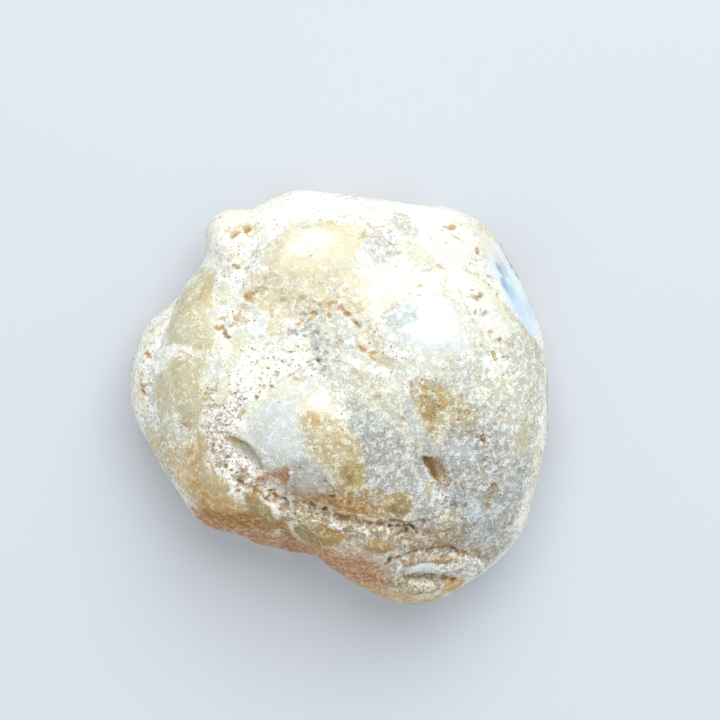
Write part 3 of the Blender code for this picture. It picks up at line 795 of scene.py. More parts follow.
SPOTS = (
    Spots("chalk holes", DEEP_STAIN_AND_SHADOW, (
        (251, 389), (254, 391), (255, 396), (257, 397), (261, 379), (255, 380), (260, 392), (246, 399),
        (240, 397), (272, 386), (236, 411), (231, 410), (252, 362), (268, 368), (282, 361), (291, 352),
        (276, 372)), 0.22),
    Spots("chalk ochre", STAIN, (
        (208, 394), (205, 399), (213, 390), (217, 405), (221, 415), (241, 413), (235, 410)), 0.34, 0.3),
    Spots("band holes", DEEP_STAIN_AND_SHADOW, (
        (213, 445), (220, 447), (227, 457), (220, 465), (225, 466), (231, 470), (240, 456), (246, 458),
        (243, 472), (248, 474), (240, 480), (247, 485), (238, 491), (262, 489), (269, 490)), 0.24),
    Spots("band rust", DARK_RUST, (
        (217, 465), (223, 465), (240, 479), (256, 480), (245, 473), (285, 494)), 0.4, 0.2, 0.6),
    Spots("corner halo", RUST, (
        (252, 255), (257, 252), (264, 248), (270, 244), (276, 240), (318, 224), (332, 221)), 0.45, 0.2),
    Spots("crown rust", RUST, ((376, 228), (368, 236), (376, 238), (303, 227)), 0.7, 0.1, 0.8),
    Spots("orange spot", STAIN, ((238, 267), (240, 319), (283, 300), (302, 298), (262, 290)), 0.5, 0.1, 0.6),
    Spots("specks by the boss", STAIN, ((419, 295), (420, 286), (440, 267)), 0.35, 0.2, 0.7),
    Spots("mauve pits", GREY_CRUMB, (
        (388, 253), (380, 246), (374, 251), (392, 244), (384, 260)), 0.3, 0.2, 0.6),
    Spots("upper right pit", STAIN, (
        (449, 227), (452, 229), (472, 290), (474, 297), (494, 355)), 0.4, 0.4, 0.8),
    Spots("shoulder black", BLACK_STAIN_AND_SHADOW, (
        (481, 294), (476, 310), (500, 339), (503, 357), (508, 358)), 0.3, 0.4, 0.6),
    Spots("shoulder crumb", GREY_CRUMB, ((484, 314), (490, 276)), 0.55, 0.3, 0.9),
    Spots("shoulder ring", STAIN, ((491, 333), (478, 251)), 0.45, 0.3, 0.7),
    Spots("ledge holes", OCHRE_HOLE, ((298, 324), (314, 314), (339, 342), (374, 353)), 0.35, 0.4),
    Spots("dark crumbs", GREY_CRUMB, (
        (288, 333), (294, 332), (311, 365), (316, 369), (308, 362)), 0.45, 0.4),
    Spots("brown crumb", STAIN, ((305, 336), (232, 325), (221, 328), (252, 294), (250, 300)), 0.4, 0.4),
    Spots("centre rust", OCHRE_HOLE, (
        (310, 416), (313, 419), (315, 424), (318, 422), (324, 437), (333, 438), (334, 444), (342, 444),
        (327, 426), (337, 425), (352, 436), (353, 441), (269, 434), (357, 447)), 0.34, 0.05, 0.65),
    Spots("centre orange", OCHRE_HOLE, ((350, 450), (311, 417)), 0.35, 0.1, 0.7),
    Spots("centre olive spots", DARK_OLIVE, ((345, 474), (350, 478), (347, 483), (358, 472)), 0.6, 0.1, 0.7),
    Spots("window foot", DARK_RUST, ((187, 424),), 0.35, 0.1, 0.6),
    Spots("rust orange", OCHRE_HOLE, (
        (411, 384), (424, 388), (437, 392), (442, 394), (447, 396), (428, 400), (422, 404), (430, 409),
        (444, 404)), 0.5, 0.1, 0.6),
    Spots("right brown", DEEP_STAIN_AND_SHADOW, (
        (445, 444), (452, 431), (469, 433), (462, 411), (489, 414), (449, 484), (454, 484), (464, 488),
        (509, 524), (482, 531), (486, 537), (489, 557), (479, 557), (519, 469)), 0.28, 0.4, 0.7),
    Spots("right ochre", OCHRE_HOLE, ((503, 418), (489, 502)), 0.34, 0.2, 0.8),
    Spots("right pit", DEEP_STAIN_AND_SHADOW, ((483, 436), (482, 440), (502, 549)), 0.32, 0.9, 0.9),
    Spots("shelf black", BLACK_STAIN_AND_SHADOW, (
        (313, 505), (323, 510), (334, 497), (402, 531), (417, 532), (406, 531)), 0.35, 0.6, 0.8),
)

SPECKLES = (
    Speckle("chalk pits", DEEP_STAIN_AND_SHADOW, ((238, 352), (275, 360), (305, 372)), 2.8, 40, 0.17, 0.6),
    Speckle("chalk band pits", STAIN, ((215, 388), (218, 430), (222, 460), (250, 484)), 2.2, 60, 0.24, 0.6),
    Speckle("band dark pits", DEEP_STAIN_AND_SHADOW, ((212, 396), (222, 450), (262, 486)), 2.0, 40, 0.17, 0.7),
    Speckle("pink specks", STAIN, ((226, 264), (246, 272), (266, 280)), 1.3, 30, 0.35, 0.5),
    Speckle("tan specks", DARK_RUST, ((262, 290), (290, 300), (330, 300)), 2.4, 60, 0.3, 0.5, 0.2),
    Speckle("tan lattice", VEIN, ((262, 288), (290, 300), (318, 306)), 2.2, 70, 0.45, 0.7, -0.2),
    Speckle("dark middle specks", GREY_CRUMB, ((305, 330), (330, 345), (320, 372)), 2.2, 50, 0.4, 0.8),
    Speckle("mauve specks", STAIN, ((368, 232), (392, 250)), 2.0, 30, 0.3, 0.5),
    Speckle("upper right specks", STAIN, (
        (445, 232), (470, 262), (482, 300), (500, 345)), 2.4, 30, 0.25, 0.5),
    Speckle("lobe specks", STAIN, ((148, 330), (142, 360), (144, 400)), 1.4, 36, 0.4, 0.6),
    Speckle("rust specks", DEEP_STAIN_AND_SHADOW, ((416, 384), (440, 400), (430, 420)), 1.6, 30, 0.35, 0.5),
    Speckle("grey right specks", DRAB, ((470, 410), (490, 470), (460, 530)), 4.5, 110, 0.4, 0.6),
    Speckle("shelf specks", DEEP_STAIN_AND_SHADOW, ((280, 502), (340, 516), (420, 526)), 1.0, 60, 0.3, 0.7),
    Speckle("shelf crumbs", CRUMB_CREAM, (
        (285, 514), (330, 522), (390, 532), (440, 512)), 0.9, 70, 0.45, 0.7, -0.4),
    Speckle("strip specks", DEEP_STAIN_AND_SHADOW, ((330, 530), (380, 535), (450, 535)), 1.6, 50, 0.35, 0.5),
    Speckle("fold specks", DEEP_STAIN_AND_SHADOW, ((390, 556), (440, 552), (470, 556)), 0.7, 26, 0.35, 0.6),
    Speckle("foot pits", STAIN, ((235, 480), (262, 492), (282, 500)), 1.2, 40, 0.45, 0.8),
)


@dataclass(frozen=True)
class Eye:
    """The camera straight above the stone. Its pixels are those of the photograph."""

    frame_side: int = 720
    pixels_per_mm: float = 6.38
    middle_pixel: Pixel = (339.5, 397.5)
    rim_height: float = 12.0
    height: float = 640.0
    sensor: float = 36.0

    def centre(self) -> Vector:
        """Where the camera stands, in millimetres.

        Returns:
            The camera's place.
        """
        half = self.frame_side / 2
        x = (half - self.middle_pixel[0]) / self.pixels_per_mm
        y = (self.middle_pixel[1] - half) / self.pixels_per_mm
        return Vector((x, y, self.height))

    def at_rim(self, pixel: Pixel) -> Vector:
        """The place that a pixel shows at the height of the stone's rim, in millimetres.

        Args:
            pixel: A pixel of the photograph.

        Returns:
            The place.
        """
        x = (pixel[0] - self.middle_pixel[0]) / self.pixels_per_mm
        y = (self.middle_pixel[1] - pixel[1]) / self.pixels_per_mm
        return Vector((x, y, self.rim_height))

    def pixels(self, places: np.ndarray) -> np.ndarray:
        """The pixels that show the given places, which are in millimetres.

        Args:
            places: Places, one in each row.

        Returns:
            Their pixels, one in each row.
        """
        centre = np.array(self.centre())
        scale = (self.height - self.rim_height) / (self.height - places[:, 2])
        flat = centre[:2] + (places[:, :2] - centre[:2]) * scale[:, None]
        return np.array(self.middle_pixel) + flat * (self.pixels_per_mm, -self.pixels_per_mm)

    def set_up(self) -> None:
        """Makes the camera and hands it to the scene."""
        lens = bpy.data.cameras.new("eye")
        lens.sensor_width = self.sensor
        lens.lens = self.sensor * (self.height - self.rim_height) * self.pixels_per_mm / self.frame_side
        camera = bpy.data.objects.new("eye", lens)
        bpy.context.scene.collection.objects.link(camera)
        camera.location = self.centre() * MM
        bpy.context.scene.camera = camera


class Swells:
    """Smooth noise in space, worked out for many places at once."""

    octave_turn: tuple[float, float, float] = (0.6, 1.1, 0.4)
    octave_shift: float = 11.7

    def __init__(self, seed: int, cells: int = 48) -> None:
        """Fills a block of random values that repeats in all directions.

        Args:
            seed: Seed of the random values.
            cells: Cells along each side of the block.
        """
        self.cells = cells
        self.table = np.random.default_rng(seed).uniform(-1.0, 1.0, (cells, cells, cells))
        self.turn = np.array(Euler(self.octave_turn).to_matrix())

    def between(self, grid: np.ndarray) -> np.ndarray:
        """Values between the corners of the block's cells, without a crease where cells meet.

        Args:
            grid: Places, measured in cells.

        Returns:
            One value for each place.
        """
        low = np.floor(grid).astype(int)
        share = grid - low
        share = share * share * (3.0 - 2.0 * share)
        total = np.zeros(len(grid))
        for corner in itertools.product((0, 1), repeat=3):
            weight = np.prod(np.where(corner, share, 1.0 - share), axis=1)
            cell = (low + corner) % self.cells
            total += weight * self.table[cell[:, 0], cell[:, 1], cell[:, 2]]
        return total

    def at(self, places: np.ndarray, size: float, octaves: int = 1) -> np.ndarray:
        """Noise from about -1 to 1.

        Args:
            places: Places in millimetres.
            size: Size of the largest swells, in millimetres.
            octaves: How many times swells of half the size and height are added.

        Returns:
            One value for each place.
        """
        total = np.zeros(len(places))
        grid = places / size
        for octave in range(octaves):
            grid = grid @ self.turn.T
            total += 0.5**octave * self.between(grid + self.octave_shift * octave)
            grid = grid * 2.0
        return total


@dataclass
class Skin:
    """The fine surface before it is carved, with places in millimetres."""

    places: np.ndarray
    outward: np.ndarray
    tree: BVHTree
    eye: Eye
    seed: int = 5
    wander_sizes: tuple[Span, ...] = ((3.1, 0.55), (1.2, 0.35), (0.5, 0.12))
    fray_size: float = 0.7
    break_size: float = 1.3
    break_band: Span = (-0.35, 0.45)
    route_step: float = 3.0
    turned_away: float = -0.25
    patch_wander: float = 0.55
    seen: np.ndarray = field(init=False)
    wander: np.ndarray = field(init=False)
    frayed: np.ndarray = field(init=False)
    broken: np.ndarray = field(init=False)
    finder: kdtree.KDTree = field(init=False)

    def __post_init__(self) -> None:
        """Works out how marks wander, fray and break up at each place."""
        self.seen = self.eye.pixels(self.places)
        self.wander = np.zeros_like(self.places)
        for axis in range(3):
            swells = Swells(self.seed + axis)
            for size, reach in self.wander_sizes:
                self.wander[:, axis] += reach * swells.at(self.places, size)
        self.frayed = Swells(self.seed + 3).at(self.places, self.fray_size, 2)
        breaks = Swells(self.seed + 4).at(self.places, self.break_size, 2)
        self.broken = smoothstep(*self.break_band, breaks)
        self.finder = kdtree.KDTree(len(self.places))
        for number, place in enumerate(self.places):
            self.finder.insert(place, number)
        self.finder.balance()

    def under(self, pixel: Pixel) -> Vector:
        """The place on the surface that a pixel of the photograph shows.

        Args:
            pixel: The pixel.

        Returns:
            The place, or the nearest one where the pixel misses the stone.
        """
        start = self.eye.centre()
        rim = self.eye.at_rim(pixel)
        found = self.tree.ray_cast(start, (rim - start).normalized())[0]
        return found or self.tree.find_nearest(rim)[0]

    def lay(self, route: Pixels) -> np.ndarray:
        """Lays a route of pixels on the surface.

        Args:
            route: The pixels that the route passes through.

        Returns:
            Places along the route, in millimetres.
        """
        pixels = np.array(route, float)
        along = run_lengths(pixels)
        steps = np.linspace(0.0, along[-1], max(2, int(along[-1] / self.route_step) + 1))
        columns = [np.interp(steps, along, pixels[:, axis]) for axis in range(2)]
        return np.array([self.under(pixel)[:] for pixel in zip(*columns)])

    def near(self, line: np.ndarray, reach: float) -> np.ndarray:
        """Numbers of the places that lie within reach of a line's box."""
        low, high = line.min(axis=0) - reach, line.max(axis=0) + reach
        return np.flatnonzero(np.all((self.places > low) & (self.places < high), axis=1))

    def inside(self, outline: Pixels, reach: float) -> tuple[np.ndarray, np.ndarray]:
        """Measures how deep places lie inside a closed outline of photograph pixels.

        Args:
            outline: The corners of the outline.
            reach: How far outside the outline places are measured too, in millimetres.

        Returns:
            The numbers of the places, and the depth of each in millimetres, which is negative outside.
        """
        corners = rounded(np.array(outline, float))
        margin = reach * self.eye.pixels_per_mm
        low, high = corners.min(axis=0) - margin, corners.max(axis=0) + margin
        within = np.all((self.seen > low) & (self.seen < high), axis=1)
        chosen = np.flatnonzero(within & (self.outward[:, 2] > self.turned_away))
        wander = self.patch_wander * self.eye.pixels_per_mm * self.wander[chosen, :2]
        points = self.seen[chosen] + wander
        squares = np.full(len(points), np.inf)
        held = np.zeros(len(points), bool)
        for start, end in zip(corners, np.roll(corners, -1, axis=0)):
            along = end - start
            share = np.clip((points - start) @ along / (along @ along), 0.0, 1.0)
            apart = points - (start + share[:, None] * along)
            squares = np.minimum(squares, (apart**2).sum(axis=1))
            crosses = (start[1] > points[:, 1]) != (end[1] > points[:, 1])
            meets = start[0] + (points[:, 1] - start[1]) * along[0] / (along[1] or 1.0)
            held ^= crosses & (meets > points[:, 0])
        depth = np.sqrt(squares) / self.eye.pixels_per_mm
        return chosen, np.where(held, depth, -depth)

    def measure(
        self, line: np.ndarray, chosen: np.ndarray, wandering: float, spacing: float
    ) -> tuple[np.ndarray, np.ndarray]:
        """Measures from chosen places to a line.

        Args:
            line: Places along the line.
            chosen: Numbers of the places to measure from.
            wandering: How much of the wander is added to them first.
            spacing: How close the line's places are set for this, in millimetres.

        Returns:
            The distance to the line, and the signed distance, which is positive to the line's left.
        """
        samples = spaced(line, spacing)
        places = self.places[chosen] + wandering * self.wander[chosen]
        squares = (places**2).sum(axis=1)[:, None] + (samples**2).sum(axis=1) - 2.0 * places @ samples.T
        nearest = squares.argmin(axis=1)
        apart = places - samples[nearest]
        distance = np.linalg.norm(apart, axis=1)
        turning = np.cross(np.gradient(samples, axis=0)[nearest], apart)
        side = np.sign(np.sum(turning * self.outward[chosen], axis=1))
        return distance, distance * side


def rounded(corners: np.ndarray) -> np.ndarray:
    """Cuts the corners off a closed outline.

    Args:
        corners: The outline's corners, one in each row.

    Returns:
        Two corners for each one that was given.
    """
    following = np.roll(corners, -1, axis=0)
    after = 0.75 * corners + 0.25 * following
    before = 0.25 * corners + 0.75 * following
    return np.stack([after, before], axis=1).reshape(-1, 2)


def run_lengths(points: np.ndarray) -> np.ndarray:
    """How far along a line each of its points lies."""
    return np.concatenate([[0.0], np.cumsum(np.linalg.norm(np.diff(points, axis=0), axis=1))])


def spaced(line: np.ndarray, spacing: float) -> np.ndarray:
    """Places set evenly along a line, about spacing apart.

    Args:
        line: Places along the line.
        spacing: The wanted distance between them, in millimetres.

    Returns:
        The evenly set places.
    """
    along = run_lengths(line)
    steps = np.linspace(0.0, along[-1], max(2, int(along[-1] / spacing) + 1))
    return np.column_stack([np.interp(steps, along, line[:, axis]) for axis in range(3)])


@dataclass
class Coat:
    """The colours and traits of every place, by attribute, and how far each place is lifted."""

    layers: dict[str, np.ndarray]
    lift: np.ndarray

    @classmethod
    def plain(cls, count: int, tone: Tone) -> "Coat":
        """A coat of one tone, with nothing lifted."""
        layers = {name: np.tile(value, (count, 1)) for name, value in tone.layers().items()}
        return cls(layers, np.zeros(count))

    def cover(self, chosen: np.ndarray, share: np.ndarray, tone: Tone) -> None:
        """Covers chosen places with a tone by the given shares.

        Args:
            chosen: Numbers of the places.
            share: How much of the tone each place takes.
            tone: The tone.
        """
        for name, value in tone.layers().items():
            held = self.layers[name]
            held[chosen] += share[:, None] * (value - held[chosen])


def lift_across(profile: Profile, distance: np.ndarray, signed: np.ndarray, breadth: float) -> np.ndarray:
    """Share of a mark's rise across its route.

    Args:
        profile: Shape of the cross section.
        distance: Distance from the route.
        signed: The same, positive to the left of the route.
        breadth: Half the mark's width.

    Returns:
        A share from -1 to 1.
    """
    if profile is Profile.GROOVE:
        return np.exp(-((distance / breadth) ** 2))
    fading = np.clip(1.0 - distance / breadth, 0.0, 1.0)
    if profile is Profile.LEDGE:
        return 0.5 * np.tanh(signed / LEDGE_SOFTNESS) * fading**2
    return np.clip(1.0 - (distance / breadth) ** 2, 0.0, 1.0) ** 2


@dataclass
class Rind:
    """Everything that grew on the stone: its broad colouring, its marks, its pits and its grain. Some marks
    are painted highlights, shade and shadows.

    The pits' sizes are their radii. The strewn spans are shares of a speckle's own size, depth and cover,
    and the pit spans are for the pits that are strewn where the rind is porous.
    """

    skin: Skin
    coat: Coat = field(init=False)
    seed: int = 11
    drift_size: float = 9.0
    drift_band: Span = (0.1, 0.6)
    sandy_share: float = 0.5
    grey_share: float = 0.7
    wild_count: int = 150
    wild_points: int = 4
    wild_steps: Span = (1.0, 2.6)
    wild_heights: Span = (0.2, 8.0)
    seam_every: int = 4
    seam_breadths: Span = (0.3, 0.6)
    patch_breadths: Span = (0.9, 3.2)
    patch_rises: Span = (-0.1, 0.3)
    line_wander: float = 0.6
    groove_least: float = 0.25
    groove_gain: float = 1.05
    spot_sizes: Span = (0.8, 1.25)
    strewn_spacing: float = 0.4
    strewn_sizes: Span = (0.45, 1.0)
    strewn_depths: Span = (0.5, 1.2)
    strewn_covers: Span = (0.4, 1.0)
    pit_count: int = 160
    pit_radii: Span = (0.15, 0.32)
    pit_depths: Span = (0.3, 0.9)
    pit_covers: Span = (0.2, 0.7)
    pit_stretch: float = 1.9
    pit_tilt: float = 0.7
    pit_fray: float = 0.8
    stain_band: Span = (0.45, 1.05)
    crumb_sizes: tuple[Span, ...] = ((1.5, 0.16), (0.7, 0.1))
    crumb_floor: float = 0.3
    swell_size: float = 2.6
    swell_height: float = 0.14

    def colour_broadly(self) -> None:
        """Lets the ground change slowly between a few common tones."""
        drift = Swells(self.seed).at(self.skin.places, self.drift_size, 3)
        everywhere = np.arange(len(self.skin.places))
        self.coat.cover(everywhere, self.sandy_share * smoothstep(*self.drift_band, drift), SANDY)
        self.coat.cover(everywhere, self.grey_share * smoothstep(*self.drift_band, -drift), OLIVE_GREY)

    def grow_wild(self) -> None:
        """Scatters marks over the sides that the photograph doesn't show."""
        choice = np.random.default_rng(self.seed)
        lowest, highest = self.wild_heights
        low = np.flatnonzero((self.skin.places[:, 2] < highest) & (self.skin.places[:, 2] > lowest))
        patches = (AMBER, CHALK, SHELF_CREAM, PALE_GREEN, OLIVE_GREY, APRICOT, PITTED_CHALK, TAN, CREAM)
        seams = (DEEP_STAIN_AND_SHADOW, STAIN, VEIN, RUST)
        for number in range(self.wild_count):
            narrow = number % self.seam_every == 0
            tones = seams if narrow else patches
            start = Vector(self.skin.places[choice.choice(low)])
            step = Vector(choice.normal(size=3)).normalized() * choice.uniform(*self.wild_steps)
            wanted = [start + step * along for along in range(self.wild_points)]
            line = np.array([self.skin.tree.find_nearest(place)[0][:] for place in wanted])
            tone = tones[choice.integers(len(tones))]
            breadth = choice.uniform(*(self.seam_breadths if narrow else self.patch_breadths))
            if narrow:
                mark = groove("wild seam", tone, (), breadth, 0.8, 0.6)
            else:
                mark = Mark("wild patch", tone, (), breadth, 0.85, choice.uniform(*self.patch_rises))
            self.apply(line, mark)

    def apply(self, line: np.ndarray, mark: Mark) -> None:
        """Lays one mark along a line on the surface.

        Args:
            line: Places along the mark's route.
            mark: The mark.
        """
        chosen = self.skin.near(line, 2.0 * mark.breadth + 1.0)
        if len(chosen) == 0:
            return
        # A narrow mark is sampled more finely, and wanders, frays and fades less.
        spacing = min(0.8, 0.3 * mark.breadth)
        distance, signed = self.skin.measure(line, chosen, self.line_wander, spacing)
        lift = mark.rise * lift_across(mark.profile, distance, signed, mark.breadth)
        if mark.profile is Profile.GROOVE:
            lift *= self.groove_least + self.groove_gain * self.skin.broken[chosen]
        self.coat.lift[chosen] += lift
        if mark.cover > 0.0:
            wandering = min(1.0, 0.4 + 0.6 * mark.breadth)
            distance, _ = self.skin.measure(line, chosen, wandering, spacing)
            frayed = distance + min(0.5, 0.35 * mark.breadth) * self.skin.frayed[chosen]
            edge = min(mark.edge, 0.6 * mark.breadth)
            share = 1.0 - smoothstep(mark.breadth - edge, mark.breadth + edge, frayed)
            self.coat.cover(chosen, mark.cover * share, mark.tone)

    def fill(self, patch: Patch) -> None:
        """Lays one patch over the places inside its outline.

        Args:
            patch: The patch.
        """
        chosen, depth = self.skin.inside(patch.outline, patch.edge + 1.0)
        seen = smoothstep(self.skin.turned_away, 0.0, self.skin.outward[chosen, 2])
        self.coat.lift[chosen] += patch.rise * seen * smoothstep(0.0, patch.shoulder, depth)
        frayed = depth + (0.08 + 0.3 * patch.edge) * self.skin.frayed[chosen]
        self.coat.cover(chosen, patch.cover * seen * smoothstep(-patch.edge, patch.edge, frayed), patch.tone)

    def spot(self) -> None:
        """Sinks the pits that the photograph shows one by one."""
        choice = np.random.default_rng(self.seed + 9)
        for spots in SPOTS:
            for pixel in spots.pixels:
                radius = choice.uniform(*self.spot_sizes) * spots.size
                self.sink(self.skin.under(pixel), radius, spots.depth, spots.tone, spots.cover)

    def sink(self, place: Vector, radius: float, depth: float, tone: Tone, cover: float) -> None:
        """Sinks one small stained pit at a place, drawn out across the stone as the real ones are.

        Args:
            place: The middle of the pit.
            radius: Its radius, in millimetres.
            depth: Its depth, as a share of the radius.
            tone: The tone of its stain.
            cover: How much the stain hides.
        """
        found = self.skin.finder.find_range(place, 1.5 * radius * self.pit_stretch)
        if not found:
            return
        chosen = np.array([hit[1] for hit in found])
        beside = self.skin.places[chosen] - np.array(place)
        # The tilt changes from pit to pit.
        tilt = self.pit_tilt * math.sin(2.0 * place.x + 3.0 * place.y)
        along = beside @ np.array([math.cos(tilt), math.sin(tilt), 0.0])
        shortened = along / self.pit_stretch
        distance = np.sqrt(np.maximum((beside**2).sum(axis=1) - along**2, 0.0) + shortened**2)
        distance *= 1.0 + self.pit_fray * self.skin.frayed[chosen]
        self.coat.lift[chosen] -= depth * radius * np.clip(1.0 - (distance / radius) ** 2, 0.0, 1.0)
        inner, outer = self.stain_band
        self.coat.cover(chosen, cover * (1.0 - smoothstep(inner * radius, outer * radius, distance)), tone)

    def strew(self) -> None:
        """Strews the pits that the photograph shows in bands, then a few where the rind is porous."""
        choice = np.random.default_rng(self.seed + 1)
        for speckle in SPECKLES:
            line = spaced(self.skin.lay(speckle.route), self.strewn_spacing)
            for _ in range(speckle.count):
                beside = line[choice.integers(len(line))] + choice.normal(0.0, 0.5 * speckle.breadth, 3)
                place = self.skin.tree.find_nearest(Vector(beside))[0]
                radius = choice.uniform(*self.strewn_sizes) * speckle.size
                depth = choice.uniform(*self.strewn_depths) * speckle.depth
                cover = choice.uniform(*self.strewn_covers) * speckle.cover
                self.sink(place, radius, depth, speckle.tone, cover)
        weight = np.clip(self.coat.layers["traits"][:, 1], 0.0, 1.0) ** 2
        for number in choice.choice(len(weight), self.pit_count, p=weight / weight.sum()):
            place = Vector(self.skin.places[number])
            radius = choice.uniform(*self.pit_radii)
            depth = choice.uniform(*self.pit_depths)
            self.sink(place, radius, depth, STAIN, choice.uniform(*self.pit_covers))

    def roughen(self) -> None:
        """Adds the crumbs and swells of the rind, strongest where it is chalky."""
        grain = self.coat.layers["traits"][:, 3]
        swell = Swells(self.seed + 2).at(self.skin.places, self.swell_size, 2)
        self.coat.lift += self.swell_height * grain * swell
        for number, (size, height) in enumerate(self.crumb_sizes):
            swell = Swells(self.seed + 3 + number).at(self.skin.places, size, 2)
            self.coat.lift += height * grain**1.5 * (np.abs(swell) - self.crumb_floor)

    def grow(self) -> Coat:
        """Lays the whole rind on the skin.

        Returns:
            The finished coat.
        """
        self.coat = Coat.plain(len(self.skin.places), CHALK)
        self.colour_broadly()
        self.grow_wild()
        for mark in BROAD_ZONES:
            self.apply(self.skin.lay(mark.route), mark)
        for patch in PATCHES:
            self.fill(patch)
        for mark in MARKS:
            self.apply(self.skin.lay(mark.route), mark)
        self.strew()
        self.spot()
        self.roughen()
        return self.coat


class Wiring:
    """A material and short ways to add nodes to it."""

    mix_inputs: tuple[int, ...] = (0, 6, 7)
    mix_output: int = 2

    def __init__(self, name: str) -> None:
        """Starts a material with one Principled shader.

        Args:
            name: The material's name.
        """
        self.material = bpy.data.materials.new(name)
        self.material.use_nodes = True
        self.tree = self.material.node_tree
        self.shader = self.tree.nodes["Principled BSDF"]
        self.place = self.tree.nodes.new("ShaderNodeTexCoord").outputs["Object"]

    def join(self, source: object, target: Socket) -> None:
        """Links a socket to an input, or sets a plain value on it.

        Args:
            source: A socket, or a plain value.
            target: The input.
        """
        if isinstance(source, Socket):
            self.tree.links.new(source, target)
        else:
            target.default_value = source

    def add(self, kind: str, inputs: dict[str, object]) -> bpy.types.Node:
        """Adds a node.

        Args:
            kind: The end of its type's name.
            inputs: What goes into it, by the names of its inputs.

        Returns:
            The node.
        """
        node = self.tree.nodes.new(f"ShaderNode{kind}")
        for name, source in inputs.items():
            self.join(source, node.inputs[name])
        return node

    def noise(self, size: float, detail: float, roughness: float, warp: float = 0.0) -> Socket:
        """Adds noise.

        Args:
            size: Size of its largest swells, in millimetres.
            detail: How many finer octaves it has.
            roughness: How strong they are.
            warp: How far it is bent out of shape.

        Returns:
            The noise, from 0 to 1.
        """
        inputs = {"Vector": self.place, "Scale": 1.0 / (size * MM), "Detail": detail}
        return self.add("TexNoise", {**inputs, "Roughness": roughness, "Distortion": warp}).outputs[0]

    def cells(self, size: float) -> tuple[Socket, Socket]:
        """Distance to the middle of the nearest cell, in cells, and a random value of that cell.

        Args:
            size: Size of the cells, in millimetres.

        Returns:
            The distance and the random value.
        """
        node = self.add("TexVoronoi", {"Vector": self.place, "Scale": 1.0 / (size * MM)})
        return node.outputs["Distance"], node.outputs["Color"]

    def math(self, operation: str, *values: object) -> Socket:
        """One Math node.

        Args:
            operation: What it works out.
            values: Sockets or plain values.

        Returns:
            The result.
        """
        node = self.add("Math", {})
        node.operation = operation
        for value, target in zip(values, node.inputs):
            self.join(value, target)
        return node.outputs[0]

    def step(self, value: object, low: object, high: object) -> Socket:
        """Smooth step from 0 at low to 1 at high.

        Args:
            value: What is mapped.
            low: Where the step starts.
            high: Where it ends.

        Returns:
            The step.
        """
        node = self.add("MapRange", {"Value": value, "From Min": low, "From Max": high})
        node.interpolation_type = "SMOOTHSTEP"
        return node.outputs["Result"]

    def mix(self, share: object, first: object, second: object, blend: str = "MIX") -> Socket:
        """Mixes two colours.

        Args:
            share: How much of the second colour is taken.
            first: The first colour.
            second: The second colour.
            blend: How the second is laid over the first.

        Returns:
            The mixed colour.
        """
        node = self.add("Mix", {})
        node.data_type = "RGBA"
        node.blend_type = blend
        factor, under, over = (node.inputs[number] for number in self.mix_inputs)
        self.join(share, factor)
        self.join(first, under)
        self.join(second, over)
        return node.outputs[self.mix_output]

    def attribute(self, name: str) -> bpy.types.Node:
        """Reads one of the piece's own attributes.

        Args:
            name: The attribute's name.

        Returns:
            The node that reads it.
        """
        node = self.add("Attribute", {})
        node.attribute_name = name
        return node

    def split(self, vector: Socket) -> bpy.types.NodeOutputs:
        """The three parts of a vector or colour."""
        return self.add("SeparateXYZ", {"Vector": vector}).outputs

    def away_from(self, place: Vector) -> Socket:
        """Distance in millimetres from a place that is in millimetres too.

        Args:
            place: The place.

        Returns:
            The distance.
        """
        node = self.add("VectorMath", {})
        node.operation = "DISTANCE"
        self.join(self.place, node.inputs[0])
        node.inputs[1].default_value = place * MM
        return self.math("MULTIPLY", node.outputs["Value"], 1.0 / MM)

    def bump(self, height: Socket, strength: float) -> None:
        """Tilts the shading by a height in millimetres.

        Args:
            height: The height.
            strength: How much the shading follows it.
        """
        node = self.add("Bump", {"Distance": MM, "Strength": strength, "Height": height})
        self.join(node.outputs["Normal"], self.shader.inputs["Normal"])


def colour_of(shown: Shown) -> tuple[float, float, float, float]:
    """A shader colour for a colour as a screen shows it."""
    return (*daylight(shown), 1.0)


